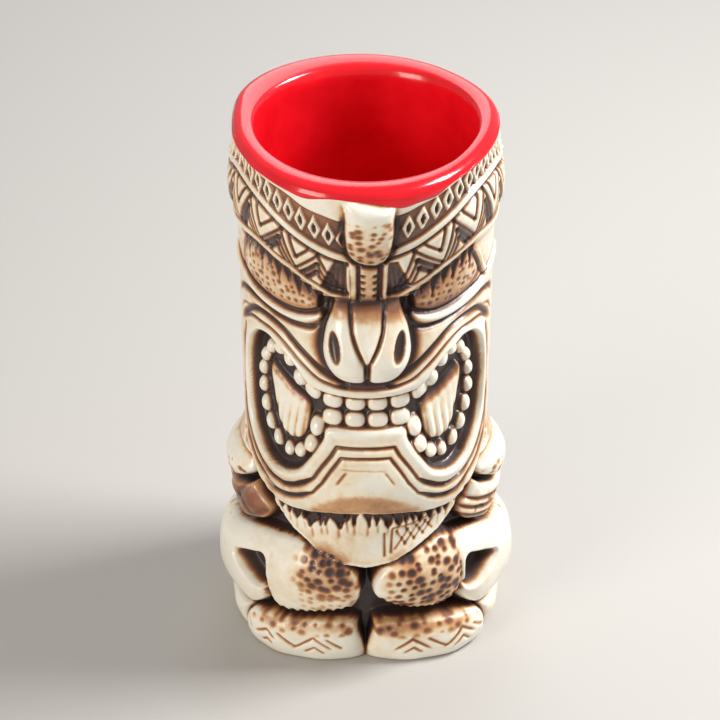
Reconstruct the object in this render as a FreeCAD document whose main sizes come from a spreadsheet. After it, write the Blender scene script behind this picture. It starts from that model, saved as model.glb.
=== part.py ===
"""Tiki mug: a slip-cast ceramic cup carved as a squatting figure, lined with glaze.

Millimetres, +Z up. The origin is the middle of the flat base, on the cup's own axis. The face looks
along -Y and the figure's sides are at -X (left) and +X (right), as seen by someone facing it.
"""
import FreeCAD, Part
import math
import os
import Sketcher

Vector = FreeCAD.Vector
Rotation = FreeCAD.Rotation
SIDES = (("left", -1), ("right", 1))

# The cup, its lining and the plain shells that the members are cut from.
CUP = {
    "mug_height": 160.0,
    "wall_radius": 33.0,
    "floor_thickness": 6.0,
    "bore_radius": 29.6,
    "neck_level": 118.0,
    "rim_reach": 39.6,
    "rim_nose": 12.0,
    "rim_side": 60.0,
    "bore_reach": 36.4,
    "bore_nose": 11.0,
    "bore_side": 52.0,
    "glaze_thickness": 0.8,
    "glaze_rim": 1.6,
    "glaze_inset": 0.6,
    "face_radius": 35.7,
    "mouth_radius": 34.2,
    "jaw_radius": 38.0,
}

# The headband flares from its lower edge to a prow over the face.
BAND = {
    "band_low": 123.0,
    "band_low_radius": 36.2,
    "band_low_reach": 38.6,
    "band_low_nose": 30.0,
    "band_low_side": 45.0,
    "band_step": 8.0,
    "band_slope": 19.0,
    "band_top_radius": 38.2,
    "band_top_reach": 43.8,
    "band_top_nose": 14.0,
    "band_top_side": 62.0,
}

# Rounded members: half width, half depth and half height, then where each one's centre stands on the
# wall: degrees round from the front, reach from the axis, level above the base, and tilt in degrees.
BLOB_SIZES = ("wide", "deep", "tall", "around", "reach", "level", "tilt")
BLOBS = {
    "knob": (5.6, 6.0, 11.5, 0.0, 39.5, 146.0, 0.0),
    "bridge": (5.0, 7.0, 11.0, 0.0, 37.4, 106.5, 0.0),
    "nostril": (6.4, 7.3, 9.3, 12.2, 37.6, 104.2, 3.0),
    "eye": (13.6, 5.4, 9.2, 42.0, 32.6, 124.0, -6.0),
    "chin": (17.0, 13.0, 18.0, 0.0, 32.0, 68.0, 0.0),
    "shoulder": (9.0, 9.0, 9.2, 82.0, 32.6, 45.0, 0.0),
    "upper_arm": (8.0, 12.0, 8.0, 76.0, 33.0, 32.0, 0.0),
    "forearm": (12.0, 11.5, 15.0, 74.0, 32.4, 20.0, 0.0),
    "elbow_hollow": (5.0, 5.0, 7.5, 64.0, 43.0, 23.0, 10.0),
    "fist": (15.0, 10.5, 12.0, 24.0, 34.0, 25.0, 14.0),
}

# Teeth and beads: half sizes and levels, then the oval ring that the beads follow, in degrees and mm.
TEETH = {
    "tooth_pitch": 6.1,
    "tooth_wide": 2.7,
    "tooth_tall": 1.7,
    "tooth_deep": 3.2,
    "upper_teeth_level": 89.6,
    "lower_teeth_level": 84.9,
    "bead_wide": 1.8,
    "bead_tall": 2.2,
    "bead_deep": 3.4,
    "ring_centre": 25.0,
    "ring_level": 84.0,
    "ring_wide": 10.8,
    "ring_tall": 14.6,
    "ring_first": 123.0,
    "ring_last": -168.0,
    "bead_count": 13,
}

# Flat carved regions, all seen from the front: centre line, levels and half sizes.
REGIONS = {
    "mouth_centre": 21.8,
    "mouth_level": 84.0,
    "mouth_wide": 11.4,
    "mouth_tall": 21.4,
    "lip_level": 81.5,
    "lip_wide": 13.4,
    "lip_tall": 32.0,
    "gape_top": 91.8,
    "gape_bottom": 82.0,
    "lip_split": 84.0,
    "lip_top": 97.5,
    "lid_level": 119.5,
    "lid_width": 2.6,
    "tongue_centre": 20.2,
    "tongue_level": 85.5,
    "tongue_wide": 4.6,
    "tongue_tall": 11.0,
    "cheek_low": 96.0,
    "cheek_top": 119.0,
    "cheek_inner": 4.0,
    "beard_level": 61.5,
    "beard_wide": 30.0,
    "beard_tall": 31.0,
    "beard_top": 51.0,
    "tab_half": 4.4,
    "tab_low": 122.0,
    "tab_top": 136.0,
    "tab_reach": 41.2,
    "shoulder_line": 46.0,
    "back_front_edge": -6.0,
    "torso_front_edge": 6.0,
}

# The gap between the fists, then feet and heels: rounded blocks under the figure.
FEET = {
    "fist_gap": 1.2,
    "foot_inner": 0.9,
    "foot_outer": 33.5,
    "foot_front": 39.6,
    "foot_back": 8.0,
    "foot_height": 12.6,
    "foot_round": 3.0,
    "heel_front": 8.0,
    "heel_back": 12.0,
    "heel_outer": 38.6,
    "heel_inner": 18.0,
    "heel_height": 9.5,
    "heel_round": 2.4,
}

PIECES = []


def blob_dimensions():
    """The blobs' rows as single named dimensions, such as eye_wide."""
    return {
        f"{name}_{size}": value
        for name, row in BLOBS.items()
        for size, value in zip(BLOB_SIZES, row)
    }


def make_sheet(doc):
    """Put every driving dimension in the spreadsheet, with its name as its alias."""
    sheet = doc.addObject("Spreadsheet::Sheet", "Dims")
    row = 1
    for group in (CUP, BAND, blob_dimensions(), TEETH, REGIONS, FEET):
        for name, value in group.items():
            sheet.set(f"A{row}", name)
            sheet.set(f"B{row}", str(value))
            sheet.setAlias(f"B{row}", name)
            row += 1
    doc.recompute()
    return sheet


def read(name):
    """A driving dimension, from the sheet."""
    return float(getattr(FreeCAD.ActiveDocument.Dims, name))


def bind(thing, **expressions):
    """Bind properties to expressions, in which Dims.name is a driving dimension."""
    for prop, expression in expressions.items():
        thing.setExpression(prop.replace("__", "."), expression)
    return thing


def piece(thing, label):
    """Name a finished sub-part and keep it for export."""
    thing.Label = label
    PIECES.append(thing)
    return thing


# ---------------------------------------------------------------- the cup's own sections


def origin_plane(body, role):
    """One of a body's own origin planes."""
    return next(f for f in body.Origin.OriginFeatures if f.Role == role)


def pick_points(back, reach, nose, side):
    """Centres and touching points of a plectrum outline: a round back, two long sides, a round prow."""
    nose_y = -(reach - nose)
    side_y = ((side - nose) ** 2 - (side - back) ** 2 - nose_y**2) / (-2 * nose_y)
    side_x = math.sqrt((side - back) ** 2 - side_y**2)
    centre = Vector(-side_x, side_y, 0)
    nose_centre = Vector(0, nose_y, 0)
    on_back = (Vector(0, 0, 0) - centre).normalize() * back
    on_nose = nose_centre + (nose_centre - centre).normalize() * nose
    return nose_centre, centre, on_nose, on_back


def arc_angle(point, centre):
    """The polar angle of a point about a centre, in radians."""
    return math.atan2(point.y - centre.y, point.x - centre.x)


def add_arc(sketch, centre, radius, start, end):
    """An arc run counter-clockwise from one point to another."""
    circle = Part.Circle(centre, Vector(0, 0, 1), radius)
    first, last = arc_angle(start, centre), arc_angle(end, centre)
    if last < first:
        last += 2 * math.pi
    return sketch.addGeometry(Part.ArcOfCircle(circle, first, last))


def mirrored(point):
    """The same point on the other side of the Y axis."""
    return Vector(-point.x, point.y, 0)


def pick_sketch(body, name, level, radii):
    """A plectrum-shaped section at a level; radii names back, reach, nose and side dimensions."""
    back, reach, nose, side = radii
    sizes = [evaluate(expression) for expression in radii]
    nose_centre, side_centre, on_nose, on_back = pick_points(*sizes)
    sketch = body.newObject("Sketcher::SketchObject", name)
    sketch.AttachmentSupport = [(origin_plane(body, "XY_Plane"), "")]
    sketch.MapMode = "FlatFace"
    bind(sketch, AttachmentOffset__Base__z=level)
    add_arc(sketch, Vector(0, 0, 0), sizes[0], on_back, mirrored(on_back))
    add_arc(sketch, mirrored(side_centre), sizes[3], mirrored(on_back), mirrored(on_nose))
    add_arc(sketch, nose_centre, sizes[2], mirrored(on_nose), on_nose)
    add_arc(sketch, side_centre, sizes[3], on_nose, on_back)
    add = sketch.addConstraint
    add(Sketcher.Constraint("Coincident", 0, 3, -1, 1))
    add(Sketcher.Constraint("PointOnObject", 2, 3, -2))
    for first, second in ((0, 1), (1, 2), (2, 3), (3, 0)):
        add(Sketcher.Constraint("Tangent", first, 2, second, 1))
    for arc, size, expression in ((0, 0, back), (1, 3, side), (2, 2, nose), (3, 3, side)):
        index = add(Sketcher.Constraint("Radius", arc, sizes[size]))
        sketch.setExpression(f"Constraints[{index}]", expression)
    index = add(Sketcher.Constraint("DistanceY", 2, 3, -1, 1, sizes[1] - sizes[2]))
    sketch.setExpression(f"Constraints[{index}]", f"{reach} - ({nose})")
    return sketch


def evaluate(expression):
    """The value of an expression of the sheet's dimensions."""
    return float(FreeCAD.ActiveDocument.Dims.evalExpression(expression))


def circle_sketch(body, name, level, radius):
    """A round section at a level, centred on the axis."""
    sketch = body.newObject("Sketcher::SketchObject", name)
    sketch.AttachmentSupport = [(origin_plane(body, "XY_Plane"), "")]
    sketch.MapMode = "FlatFace"
    bind(sketch, AttachmentOffset__Base__z=level)
    sketch.addGeometry(Part.Circle(Vector(0, 0, 0), Vector(0, 0, 1), evaluate(radius)))
    sketch.addConstraint(Sketcher.Constraint("Coincident", 0, 3, -1, 1))
    index = sketch.addConstraint(Sketcher.Constraint("Radius", 0, evaluate(radius)))
    sketch.setExpression(f"Constraints[{index}]", radius)
    return sketch


def loft(body, name, first, second, kind="AdditiveLoft"):
    """A straight loft between two sketches of one body."""
    feature = body.newObject(f"PartDesign::{kind}", name)
    feature.Profile = first
    feature.Sections = [second]
    feature.Ruled = True
    FreeCAD.ActiveDocument.recompute()
    return feature


def cup_solid(doc, name, grow):
    """A solid plug of the cup's inner shape, a distance outside the bore: a cylinder, then a flare."""
    body = doc.addObject("PartDesign::Body", name)
    floor = f"Dims.floor_thickness - ({grow})"
    radius = f"Dims.bore_radius + {grow}"
    tube = circle_sketch(body, f"{name}_floor", floor, radius)
    pad = body.newObject("PartDesign::Pad", f"{name}_tube")
    pad.Profile = tube
    bind(pad, Length=f"Dims.neck_level - ({floor})")
    doc.recompute()
    neck = circle_sketch(body, f"{name}_neck", "Dims.neck_level", radius)
    mouth = pick_sketch(body, f"{name}_mouth", "Dims.mug_height", bore_radii(grow))
    loft(body, f"{name}_flare", neck, mouth)
    return body


def bore_radii(grow):
    """The bore's outline at the rim, grown by a distance."""
    names = ("bore_radius", "bore_reach", "bore_nose", "bore_side")
    return [f"Dims.{name} + {grow}" for name in names]


def outer_solid(doc):
    """The cup's plain outside, with no relief on it: the wall that every member stands on."""
    body = doc.addObject("PartDesign::Body", "CupOutside")
    foot = circle_sketch(body, "CupFoot", "0", "Dims.wall_radius")
    pad = body.newObject("PartDesign::Pad", "CupWall")
    pad.Profile = foot
    bind(pad, Length="Dims.neck_level")
    doc.recompute()
    neck = circle_sketch(body, "CupNeck", "Dims.neck_level", "Dims.wall_radius")
    radii = ("Dims.wall_radius", "Dims.rim_reach", "Dims.rim_nose", "Dims.rim_side")
    top = pick_sketch(body, "CupTop", "Dims.mug_height - Dims.glaze_rim", radii)
    loft(body, "CupFlare", neck, top)
    return body


# ---------------------------------------------------------------- small builders


def boolean(doc, kind, base, tool, name=None):
    """A Part::Cut or Part::Common of two objects."""
    result = doc.addObject(f"Part::{kind}", name or f"{base.Name}_{kind}")
    result.Base = base
    result.Tool = tool
    return result


def cut_away(doc, base, *tools):
    """Cut each tool from a base in turn."""
    for tool in tools:
        base = boolean(doc, "Cut", base, tool)
    return base


def join(doc, name, things):
    """One object of several that overlap or touch."""
    fused = doc.addObject("Part::MultiFuse", name)
    fused.Shapes = things
    return fused


def group(doc, name, things):
    """Several separate solids as one object."""
    together = doc.addObject("Part::Compound", name)
    together.Links = things
    return together


def blob(doc, name, kind, side=1):
    """An ellipsoid whose size and place are the named blob's dimensions."""
    thing = doc.addObject("Part::Ellipsoid", name)
    bind(
        thing,
        Radius1=f"Dims.{kind}_tall",
        Radius2=f"Dims.{kind}_wide",
        Radius3=f"Dims.{kind}_deep",
        Placement__Base__x=f"{side} * Dims.{kind}_reach * sin(Dims.{kind}_around)",
        Placement__Base__y=f"-Dims.{kind}_reach * cos(Dims.{kind}_around)",
        Placement__Base__z=f"Dims.{kind}_level",
        Placement__Rotation__Yaw=f"{side} * Dims.{kind}_around",
        Placement__Rotation__Pitch=f"{side} * Dims.{kind}_tilt",
    )
    thing.Angle1 = -90
    thing.Angle2 = 90
    thing.Angle3 = 360
    return thing


def column(doc, name, radius, low, high):
    """A cylinder about the cup's axis between two levels."""
    thing = doc.addObject("Part::Cylinder", name)
    return bind(thing, Radius=radius, Height=f"({high}) - ({low})", Placement__Base__z=low)


def block(doc, name, low, high):
    """A box between two corners, each three expressions."""
    thing = doc.addObject("Part::Box", name)
    for prop, place, first, last in zip(("Length", "Width", "Height"), "xyz", low, high):
        thing.setExpression(prop, f"({last}) - ({first})")
        thing.setExpression(f"Placement.Base.{place}", first)
    return thing


def oval_prism(doc, name, centre, level, wide, tall):
    """A prism whose section, seen from the front, is an ellipse; it runs forward from the axis."""
    outline = doc.addObject("Part::Ellipse", f"{name}_outline")
    bind(
        outline,
        MajorRadius=tall,
        MinorRadius=wide,
        Placement__Base__x=centre,
        Placement__Base__z=level,
    )
    outline.Placement.Rotation = Rotation(Vector(1, 1, 1), -120)
    prism = doc.addObject("Part::Extrusion", name)
    prism.Base = outline
    prism.DirMode = "Custom"
    prism.Dir = Vector(0, -1, 0)
    prism.Solid = True
    return bind(prism, LengthFwd="Dims.mug_height / 2")


def wide_block(doc, name, half, low, high, back="0"):
    """A box across the front, from a plane near the axis to well before the face."""
    front = "-Dims.mug_height / 2"
    return block(doc, name, (f"-({half})", front, low), (half, back, high))


# ---------------------------------------------------------------- the mug


def make_cup(doc):
    """The vessel, its glaze lining, and the plain outside that members are trimmed to."""
    outside = outer_solid(doc)
    bore = cup_solid(doc, "Bore", "0")
    hollow = cup_solid(doc, "Hollow", "-Dims.glaze_thickness")
    piece(boolean(doc, "Cut", outside, bore), "vessel")
    cap = doc.addObject("PartDesign::Body", "RimGlaze")
    radii = band_radii("top", "Dims.glaze_inset")
    low = pick_sketch(cap, "RimGlazeLow", "Dims.mug_height - Dims.glaze_rim", radii)
    pad = cap.newObject("PartDesign::Pad", "RimGlazePad")
    pad.Profile = low
    bind(pad, Length="Dims.glaze_rim")
    doc.recompute()
    skin = join(doc, "GlazeBlank", [bore, cap])
    piece(boolean(doc, "Cut", skin, hollow), "lining_glaze")
    return outside


def band_radii(end, shrink="0"):
    """The headband's outline at its low or top end, shrunk by a distance."""
    return [f"Dims.band_{end}_{name} - {shrink}" for name in ("radius", "reach", "nose", "side")]


def make_headband(doc, outside):
    """The flared carved band, the knob at its prow and the clasp under the knob."""
    band = doc.addObject("PartDesign::Body", "BandBlank")
    low = pick_sketch(band, "BandLow", "Dims.band_low", band_radii("low"))
    top = pick_sketch(band, "BandTop", "Dims.mug_height - Dims.glaze_rim", band_radii("top"))
    loft(band, "BandFlare", low, top)
    knob = blob(doc, "KnobBlank", "knob")
    low = ("-Dims.tab_half", "-Dims.tab_reach", "Dims.tab_low")
    tab = block(doc, "TabBlank", low, ("Dims.tab_half", "-Dims.bore_radius", "Dims.tab_top"))
    wedges = [band_wedge(doc, side, sign) for side, sign in SIDES]
    piece(cut_away(doc, band, *wedges, outside, knob, tab), "headband")
    piece(cut_away(doc, knob, outside), "forehead_knob")
    piece(cut_away(doc, tab, outside, knob), "brow_tab")
    return band, wedges


def band_wedge(doc, side, sign):
    """What is cut from under the band on one side, so that its lower edge climbs from the prow."""
    wedge = doc.addObject("Part::Box", f"UnderBand_{side}")
    bind(
        wedge,
        Length="Dims.mug_height",
        Width="2 * Dims.mug_height",
        Height="Dims.mug_height / 4",
        Placement__Base__x=f"{sign} * Dims.band_step",
        Placement__Base__y=f"{sign} * Dims.mug_height",
        Placement__Base__z="Dims.band_low",
        Placement__Rotation__Yaw=str(90 - 90 * sign),
        Placement__Rotation__Pitch="-Dims.band_slope",
        Placement__Rotation__Roll="180",
    )
    return wedge


def make_eyes(doc, outside, band, wedges, nose):
    """The bulging eyes under the headband and the lids below them; also the band as they meet it."""
    lids = []
    under_band = cut_away(doc, band, *wedges)
    under = column(doc, "LidReach", "Dims.mug_height / 2", "Dims.mug_height / 2", "Dims.lid_level")
    for side, sign in SIDES:
        eye = blob(doc, f"EyeBlank_{side}", "eye", sign)
        piece(cut_away(doc, eye, outside, under_band), f"eye_{side}")
        rim = blob(doc, f"LidBlank_{side}", "eye", sign)
        bind(
            rim,
            Radius1="Dims.eye_tall + Dims.lid_width",
            Radius2="Dims.eye_wide + Dims.lid_width",
            Radius3="Dims.eye_deep - Dims.lid_width / 4",
        )
        lid = boolean(doc, "Common", rim, under)
        piece(cut_away(doc, lid, outside, eye, *nose), f"lower_lid_{side}")
        lids.append(rim)
    return lids, under_band


def make_nose(doc, outside):
    """The bridge, and a nostril lobe on each side of it."""
    bridge = blob(doc, "BridgeBlank", "bridge")
    piece(cut_away(doc, bridge, outside), "nose_bridge")
    nose = [bridge]
    for side, sign in SIDES:
        lobe = blob(doc, f"NostrilBlank_{side}", "nostril", sign)
        piece(cut_away(doc, lobe, bridge, outside), f"nostril_{side}")
        nose.append(lobe)
    return nose


def make_mouth(doc, outside, face, nose):
    """The lips, cut from the face round the two oval corners and the gape between them."""
    corners, ovals = [], []
    for side, sign in SIDES:
        centre = f"{sign} * Dims.mouth_centre"
        sizes = ("Dims.mouth_wide", "Dims.mouth_tall")
        corners.append(oval_prism(doc, f"Corner_{side}", centre, "Dims.mouth_level", *sizes))
        sizes = ("Dims.lip_wide", "Dims.lip_tall")
        ovals.append(oval_prism(doc, f"LipOval_{side}", centre, "Dims.lip_level", *sizes))
    gape = wide_block(doc, "Gape", "Dims.mouth_centre", "Dims.gape_bottom", "Dims.gape_top")
    mouth = join(doc, "MouthOpening", [*corners, gape])
    bar = wide_block(doc, "LipBar", "Dims.mouth_centre", "Dims.lip_split", "Dims.lip_top")
    outline = join(doc, "LipOutline", [*ovals, bar])
    lips = boolean(doc, "Cut", boolean(doc, "Common", face, outline, "LipBlank"), mouth, "Lips")
    above = column(doc, "AboveSplit", "Dims.mug_height", "Dims.lip_split", "Dims.mug_height")
    piece(cut_away(doc, boolean(doc, "Common", lips, above), outside, *nose), "upper_lip")
    piece(cut_away(doc, lips, above, outside), "lower_lip")
    return ovals, outline


def make_chin(doc, outside, ovals):
    """The bulging plate under the front teeth, between the two mouth corners."""
    bulge = blob(doc, "ChinBulge", "chin")
    below = column(doc, "BelowGape", "Dims.mug_height", "Dims.beard_top", "Dims.gape_bottom")
    plate = boolean(doc, "Common", bulge, below, "ChinPlateBlank")
    piece(cut_away(doc, plate, *ovals, outside), "chin_plate")


def make_cheeks(doc, outside, face, outline, nose, lids):
    """The plain cheeks between the nose, the lids and the upper lip."""
    for (side, sign), lid in zip(SIDES, lids):
        near, far = sorted((sign * read("cheek_inner"), sign * read("mug_height")))
        low = (str(near), "-Dims.mug_height / 2", "Dims.cheek_low")
        zone = block(doc, f"CheekZone_{side}", low, (str(far), "Dims.back_front_edge", "Dims.cheek_top"))
        blank = boolean(doc, "Common", face, zone, f"CheekBlank_{side}")
        piece(cut_away(doc, blank, outline, *nose, lid, outside), f"cheek_{side}")


def stud(doc, name, around, level, wide, deep, tall):
    """A small rounded tooth on the wall, at an angle round from the front and a level."""
    thing = doc.addObject("Part::Ellipsoid", name)
    bind(thing, Radius1=f"Dims.{tall}", Radius2=f"Dims.{wide}", Radius3=f"Dims.{deep}")
    thing.Angle1, thing.Angle2, thing.Angle3 = -90, 90, 360
    turn = math.radians(around)
    reach = read("wall_radius")
    spot = Vector(reach * math.sin(turn), -reach * math.cos(turn), level)
    thing.Placement = FreeCAD.Placement(spot, Rotation(around, 0, 0))
    return thing


def make_rows(doc, outside):
    """The two front rows of flat teeth."""
    pitch = math.degrees(read("tooth_pitch") / read("face_radius"))
    for row, count in (("upper", 6), ("lower", 4)):
        teeth = []
        for place in range(count):
            around = (place - (count - 1) / 2) * pitch
            level = read(f"{row}_teeth_level")
            tooth = stud(doc, f"{row}_tooth_{place}", around, level, "tooth_wide", "tooth_deep", "tooth_tall")
            teeth.append(boolean(doc, "Cut", tooth, outside))
        piece(group(doc, f"{row}_row", teeth), f"{row}_teeth")


def ring_point(sign, turn):
    """A place on one mouth corner's ring of beads: degrees round the wall, and level."""
    along = read("ring_centre") + read("ring_wide") * math.cos(turn)
    level = read("ring_level") + read("ring_tall") * math.sin(turn)
    return sign * math.degrees(along / read("face_radius")), level


def make_rings(doc, outside):
    """The ring of bead-like teeth inside each mouth corner, open where the front rows come in."""
    count = int(read("bead_count"))
    first, last = math.radians(read("ring_first")), math.radians(read("ring_last"))
    for side, sign in SIDES:
        beads = []
        for step in range(count):
            around, level = ring_point(sign, first + (last - first) * step / (count - 1))
            bead = stud(doc, f"bead_{side}_{step}", around, level, "bead_wide", "bead_deep", "bead_tall")
            beads.append(boolean(doc, "Cut", bead, outside))
        piece(group(doc, f"ring_{side}", beads), f"bead_teeth_{side}")


def make_tongues(doc, outside):
    """The fluted leaf inside each ring of beads."""
    floor = column(doc, "MouthColumn", "Dims.mouth_radius", "Dims.beard_top", "Dims.band_low")
    for side, sign in SIDES:
        sizes = ("Dims.tongue_wide", "Dims.tongue_tall")
        leaf = oval_prism(doc, f"Leaf_{side}", f"{sign} * Dims.tongue_centre", "Dims.tongue_level", *sizes)
        piece(cut_away(doc, boolean(doc, "Common", floor, leaf), outside), f"tongue_{side}")


def make_beard(doc, outside):
    """The bowl-shaped beard under the lips."""
    jaw = column(doc, "JawColumn", "Dims.jaw_radius", "0", "Dims.beard_top")
    bowl = oval_prism(doc, "Bowl", "0", "Dims.beard_level", "Dims.beard_wide", "Dims.beard_tall")
    beard = boolean(doc, "Common", jaw, bowl, "BeardBlank")
    piece(cut_away(doc, beard, outside), "beard")
    return beard


def make_fists(doc, outside, beard):
    """The fists that meet in front of the belly."""
    reach, half = "Dims.mug_height", "Dims.fist_gap / 2"
    halves = (
        block(doc, "LeftOfGap", (f"-{half}", f"-{reach}", "0"), (reach, reach, reach)),
        block(doc, "RightOfGap", (f"-{reach}", f"-{reach}", "0"), (half, reach, reach)),
    )
    fists = []
    for (side, sign), other in zip(SIDES, halves):
        fist = blob(doc, f"FistBlank_{side}", "fist", sign)
        piece(cut_away(doc, fist, other, beard, outside), f"fist_{side}")
        fists.append(fist)
    return fists


def rounded_block(doc, name, low, high, radius):
    """A block with its upright and upper edges rounded."""
    plain = block(doc, f"{name}_plain", low, high)
    doc.recompute()
    top = plain.Shape.BoundBox.ZMax
    chosen = []
    for number, edge in enumerate(plain.Shape.Edges, 1):
        if max(vertex.Z for vertex in edge.Vertexes) > top - read(radius):
            chosen.append((number, read(radius), read(radius)))
    rounded = doc.addObject("Part::Fillet", name)
    rounded.Base = plain
    rounded.Edges = chosen
    return rounded


def side_block(doc, name, sign, kind, front, back):
    """A rounded block on one side of the figure, standing on the base plane."""
    xs = sorted((f"{sign} * Dims.{kind}_inner", f"{sign} * Dims.{kind}_outer"), key=evaluate)
    high = (xs[1], back, f"Dims.{kind}_height")
    return rounded_block(doc, name, (xs[0], front, "0"), high, f"{kind}_round")


def make_feet(doc, outside, fists):
    """The toes in front and the heels beside them, all flat on the base plane."""
    soles = []
    for (side, sign), fist in zip(SIDES, fists):
        toes = side_block(doc, f"FootBlank_{side}", sign, "foot", "-Dims.foot_front", "-Dims.foot_back")
        sole = column(doc, f"SoleRound_{side}", "Dims.foot_front", "0", "Dims.foot_height")
        foot = boolean(doc, "Common", toes, sole, f"FootRound_{side}")
        piece(cut_away(doc, foot, fist, outside), f"foot_{side}")
        heel = side_block(doc, f"HeelBlank_{side}", sign, "heel", "-Dims.heel_front", "Dims.heel_back")
        piece(cut_away(doc, heel, outside), f"heel_{side}")
        soles.append((foot, heel))
    return soles


def make_arms(doc, outside, outline, beard, fists, soles):
    """Shoulder, upper arm and bent forearm on each side."""
    arms = []
    for (side, sign), fist, (foot, heel) in zip(SIDES, fists, soles):
        loop = blob(doc, f"ForearmBlank_{side}", "forearm", sign)
        hollow = blob(doc, f"ElbowHollow_{side}", "elbow_hollow", sign)
        ground = column(doc, f"Ground_{side}", "Dims.mug_height", "-Dims.mug_height", "0")
        piece(cut_away(doc, loop, hollow, fist, foot, heel, ground, beard, outside), f"forearm_{side}")
        upper = blob(doc, f"UpperArmBlank_{side}", "upper_arm", sign)
        piece(cut_away(doc, upper, loop, fist, beard, outside), f"upper_arm_{side}")
        ball = blob(doc, f"ShoulderBlank_{side}", "shoulder", sign)
        piece(cut_away(doc, ball, upper, beard, outline, outside), f"shoulder_{side}")
        arms += [loop, upper, ball]
    return arms


def make_backs(doc, outside, face, under_band, outline, lids, arms, soles):
    """The plain back of the head, and of the body under the shoulder line."""
    reach = "Dims.mug_height"
    low = (f"-{reach}", "Dims.back_front_edge", "Dims.shoulder_line")
    behind = block(doc, "BehindHead", low, (reach, reach, reach))
    head = boolean(doc, "Common", face, behind, "HeadBackBlank")
    piece(cut_away(doc, head, under_band, *arms, *lids, outline, outside), "head_back")
    low = (f"-{reach}", "Dims.torso_front_edge", "0")
    below = block(doc, "BehindBody", low, (reach, reach, "Dims.shoulder_line"))
    body = boolean(doc, "Common", face, below, "TorsoBackBlank")
    piece(cut_away(doc, body, *arms, *(heel for _, heel in soles), outside), "torso_back")


def export(doc):
    """Check every object, then write each sub-part to a file named after it."""
    doc.recompute()
    for thing in doc.Objects:
        if {"Invalid", "Error"} & set(thing.State):
            raise RuntimeError(f"{thing.Name} failed: {thing.State}")
    for thing in PIECES:
        if thing.Shape.isNull() or not thing.Shape.isValid():
            raise RuntimeError(f"{thing.Label} has no valid shape")
        if not thing.Shape.Solids:
            raise RuntimeError(f"{thing.Label} has no solid")
    os.makedirs("parts", exist_ok=True)
    for thing in PIECES:
        thing.Shape.exportStep(os.path.join("parts", f"{thing.Label}.step"))
        print(f"{thing.Label:18s} {thing.Shape.Volume:8.0f} mm3 in {len(thing.Shape.Solids)} solids")


def main():
    doc = FreeCAD.newDocument("TikiMug")
    make_sheet(doc)
    outside = make_cup(doc)
    band, wedges = make_headband(doc, outside)
    nose = make_nose(doc, outside)
    lids, under_band = make_eyes(doc, outside, band, wedges, nose)
    face = column(doc, "FaceColumn", "Dims.face_radius", "0", "Dims.mug_height - Dims.glaze_rim")
    ovals, outline = make_mouth(doc, outside, face, nose)
    make_chin(doc, outside, ovals)
    make_cheeks(doc, outside, face, outline, nose, lids)
    make_rows(doc, outside)
    make_rings(doc, outside)
    make_tongues(doc, outside)
    beard = make_beard(doc, outside)
    fists = make_fists(doc, outside, beard)
    soles = make_feet(doc, outside, fists)
    arms = make_arms(doc, outside, outline, beard, fists, soles)
    make_backs(doc, outside, face, under_band, outline, lids, arms, soles)
    export(doc)


main()
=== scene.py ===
import math

import bpy
import numpy as np
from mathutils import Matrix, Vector


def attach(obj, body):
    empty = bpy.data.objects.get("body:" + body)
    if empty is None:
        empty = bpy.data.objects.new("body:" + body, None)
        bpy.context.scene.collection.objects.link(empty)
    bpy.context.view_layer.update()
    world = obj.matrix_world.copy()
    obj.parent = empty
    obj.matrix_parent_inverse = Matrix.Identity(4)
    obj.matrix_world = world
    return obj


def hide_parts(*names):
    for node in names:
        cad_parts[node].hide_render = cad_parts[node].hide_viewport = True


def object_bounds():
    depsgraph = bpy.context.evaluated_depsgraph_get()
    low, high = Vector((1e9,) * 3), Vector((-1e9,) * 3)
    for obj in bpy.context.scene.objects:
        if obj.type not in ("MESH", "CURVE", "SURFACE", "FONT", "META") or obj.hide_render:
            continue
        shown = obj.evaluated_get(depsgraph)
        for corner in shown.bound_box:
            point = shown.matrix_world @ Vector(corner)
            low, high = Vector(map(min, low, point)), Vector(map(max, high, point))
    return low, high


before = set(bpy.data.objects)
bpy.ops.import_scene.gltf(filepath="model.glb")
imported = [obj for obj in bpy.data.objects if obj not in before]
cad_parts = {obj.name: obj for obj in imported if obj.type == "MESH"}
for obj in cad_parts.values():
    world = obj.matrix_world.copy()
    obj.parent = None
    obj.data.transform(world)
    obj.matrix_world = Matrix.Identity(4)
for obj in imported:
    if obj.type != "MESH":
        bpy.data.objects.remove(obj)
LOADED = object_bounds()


def pairs(*numbers):
    """A flat list of numbers as the (x, y) points of a line."""
    return tuple(zip(numbers[::2], numbers[1::2]))


# The wall is worked in millimetres: a turn from the front (positive to the viewer's right) and a level.
MM = 1000.0
HEIGHT = round(LOADED[1][2] * MM, 3)
UNIT = 36.0  # a distance along the wall is the turn times this
COLUMNS = 684
ROWS = 482
CORE = 31.2  # radius of the shells' hidden inner faces
VIEWPOINT = (0.0, -587.1, 461.3)  # where the face was laid out from
SIDES = (-1.0, 1.0)
WORDS = ((-1, "left"), (1, "right"))
LAP = 1.2  # how far the headband reaches below its own lower edge line

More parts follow.
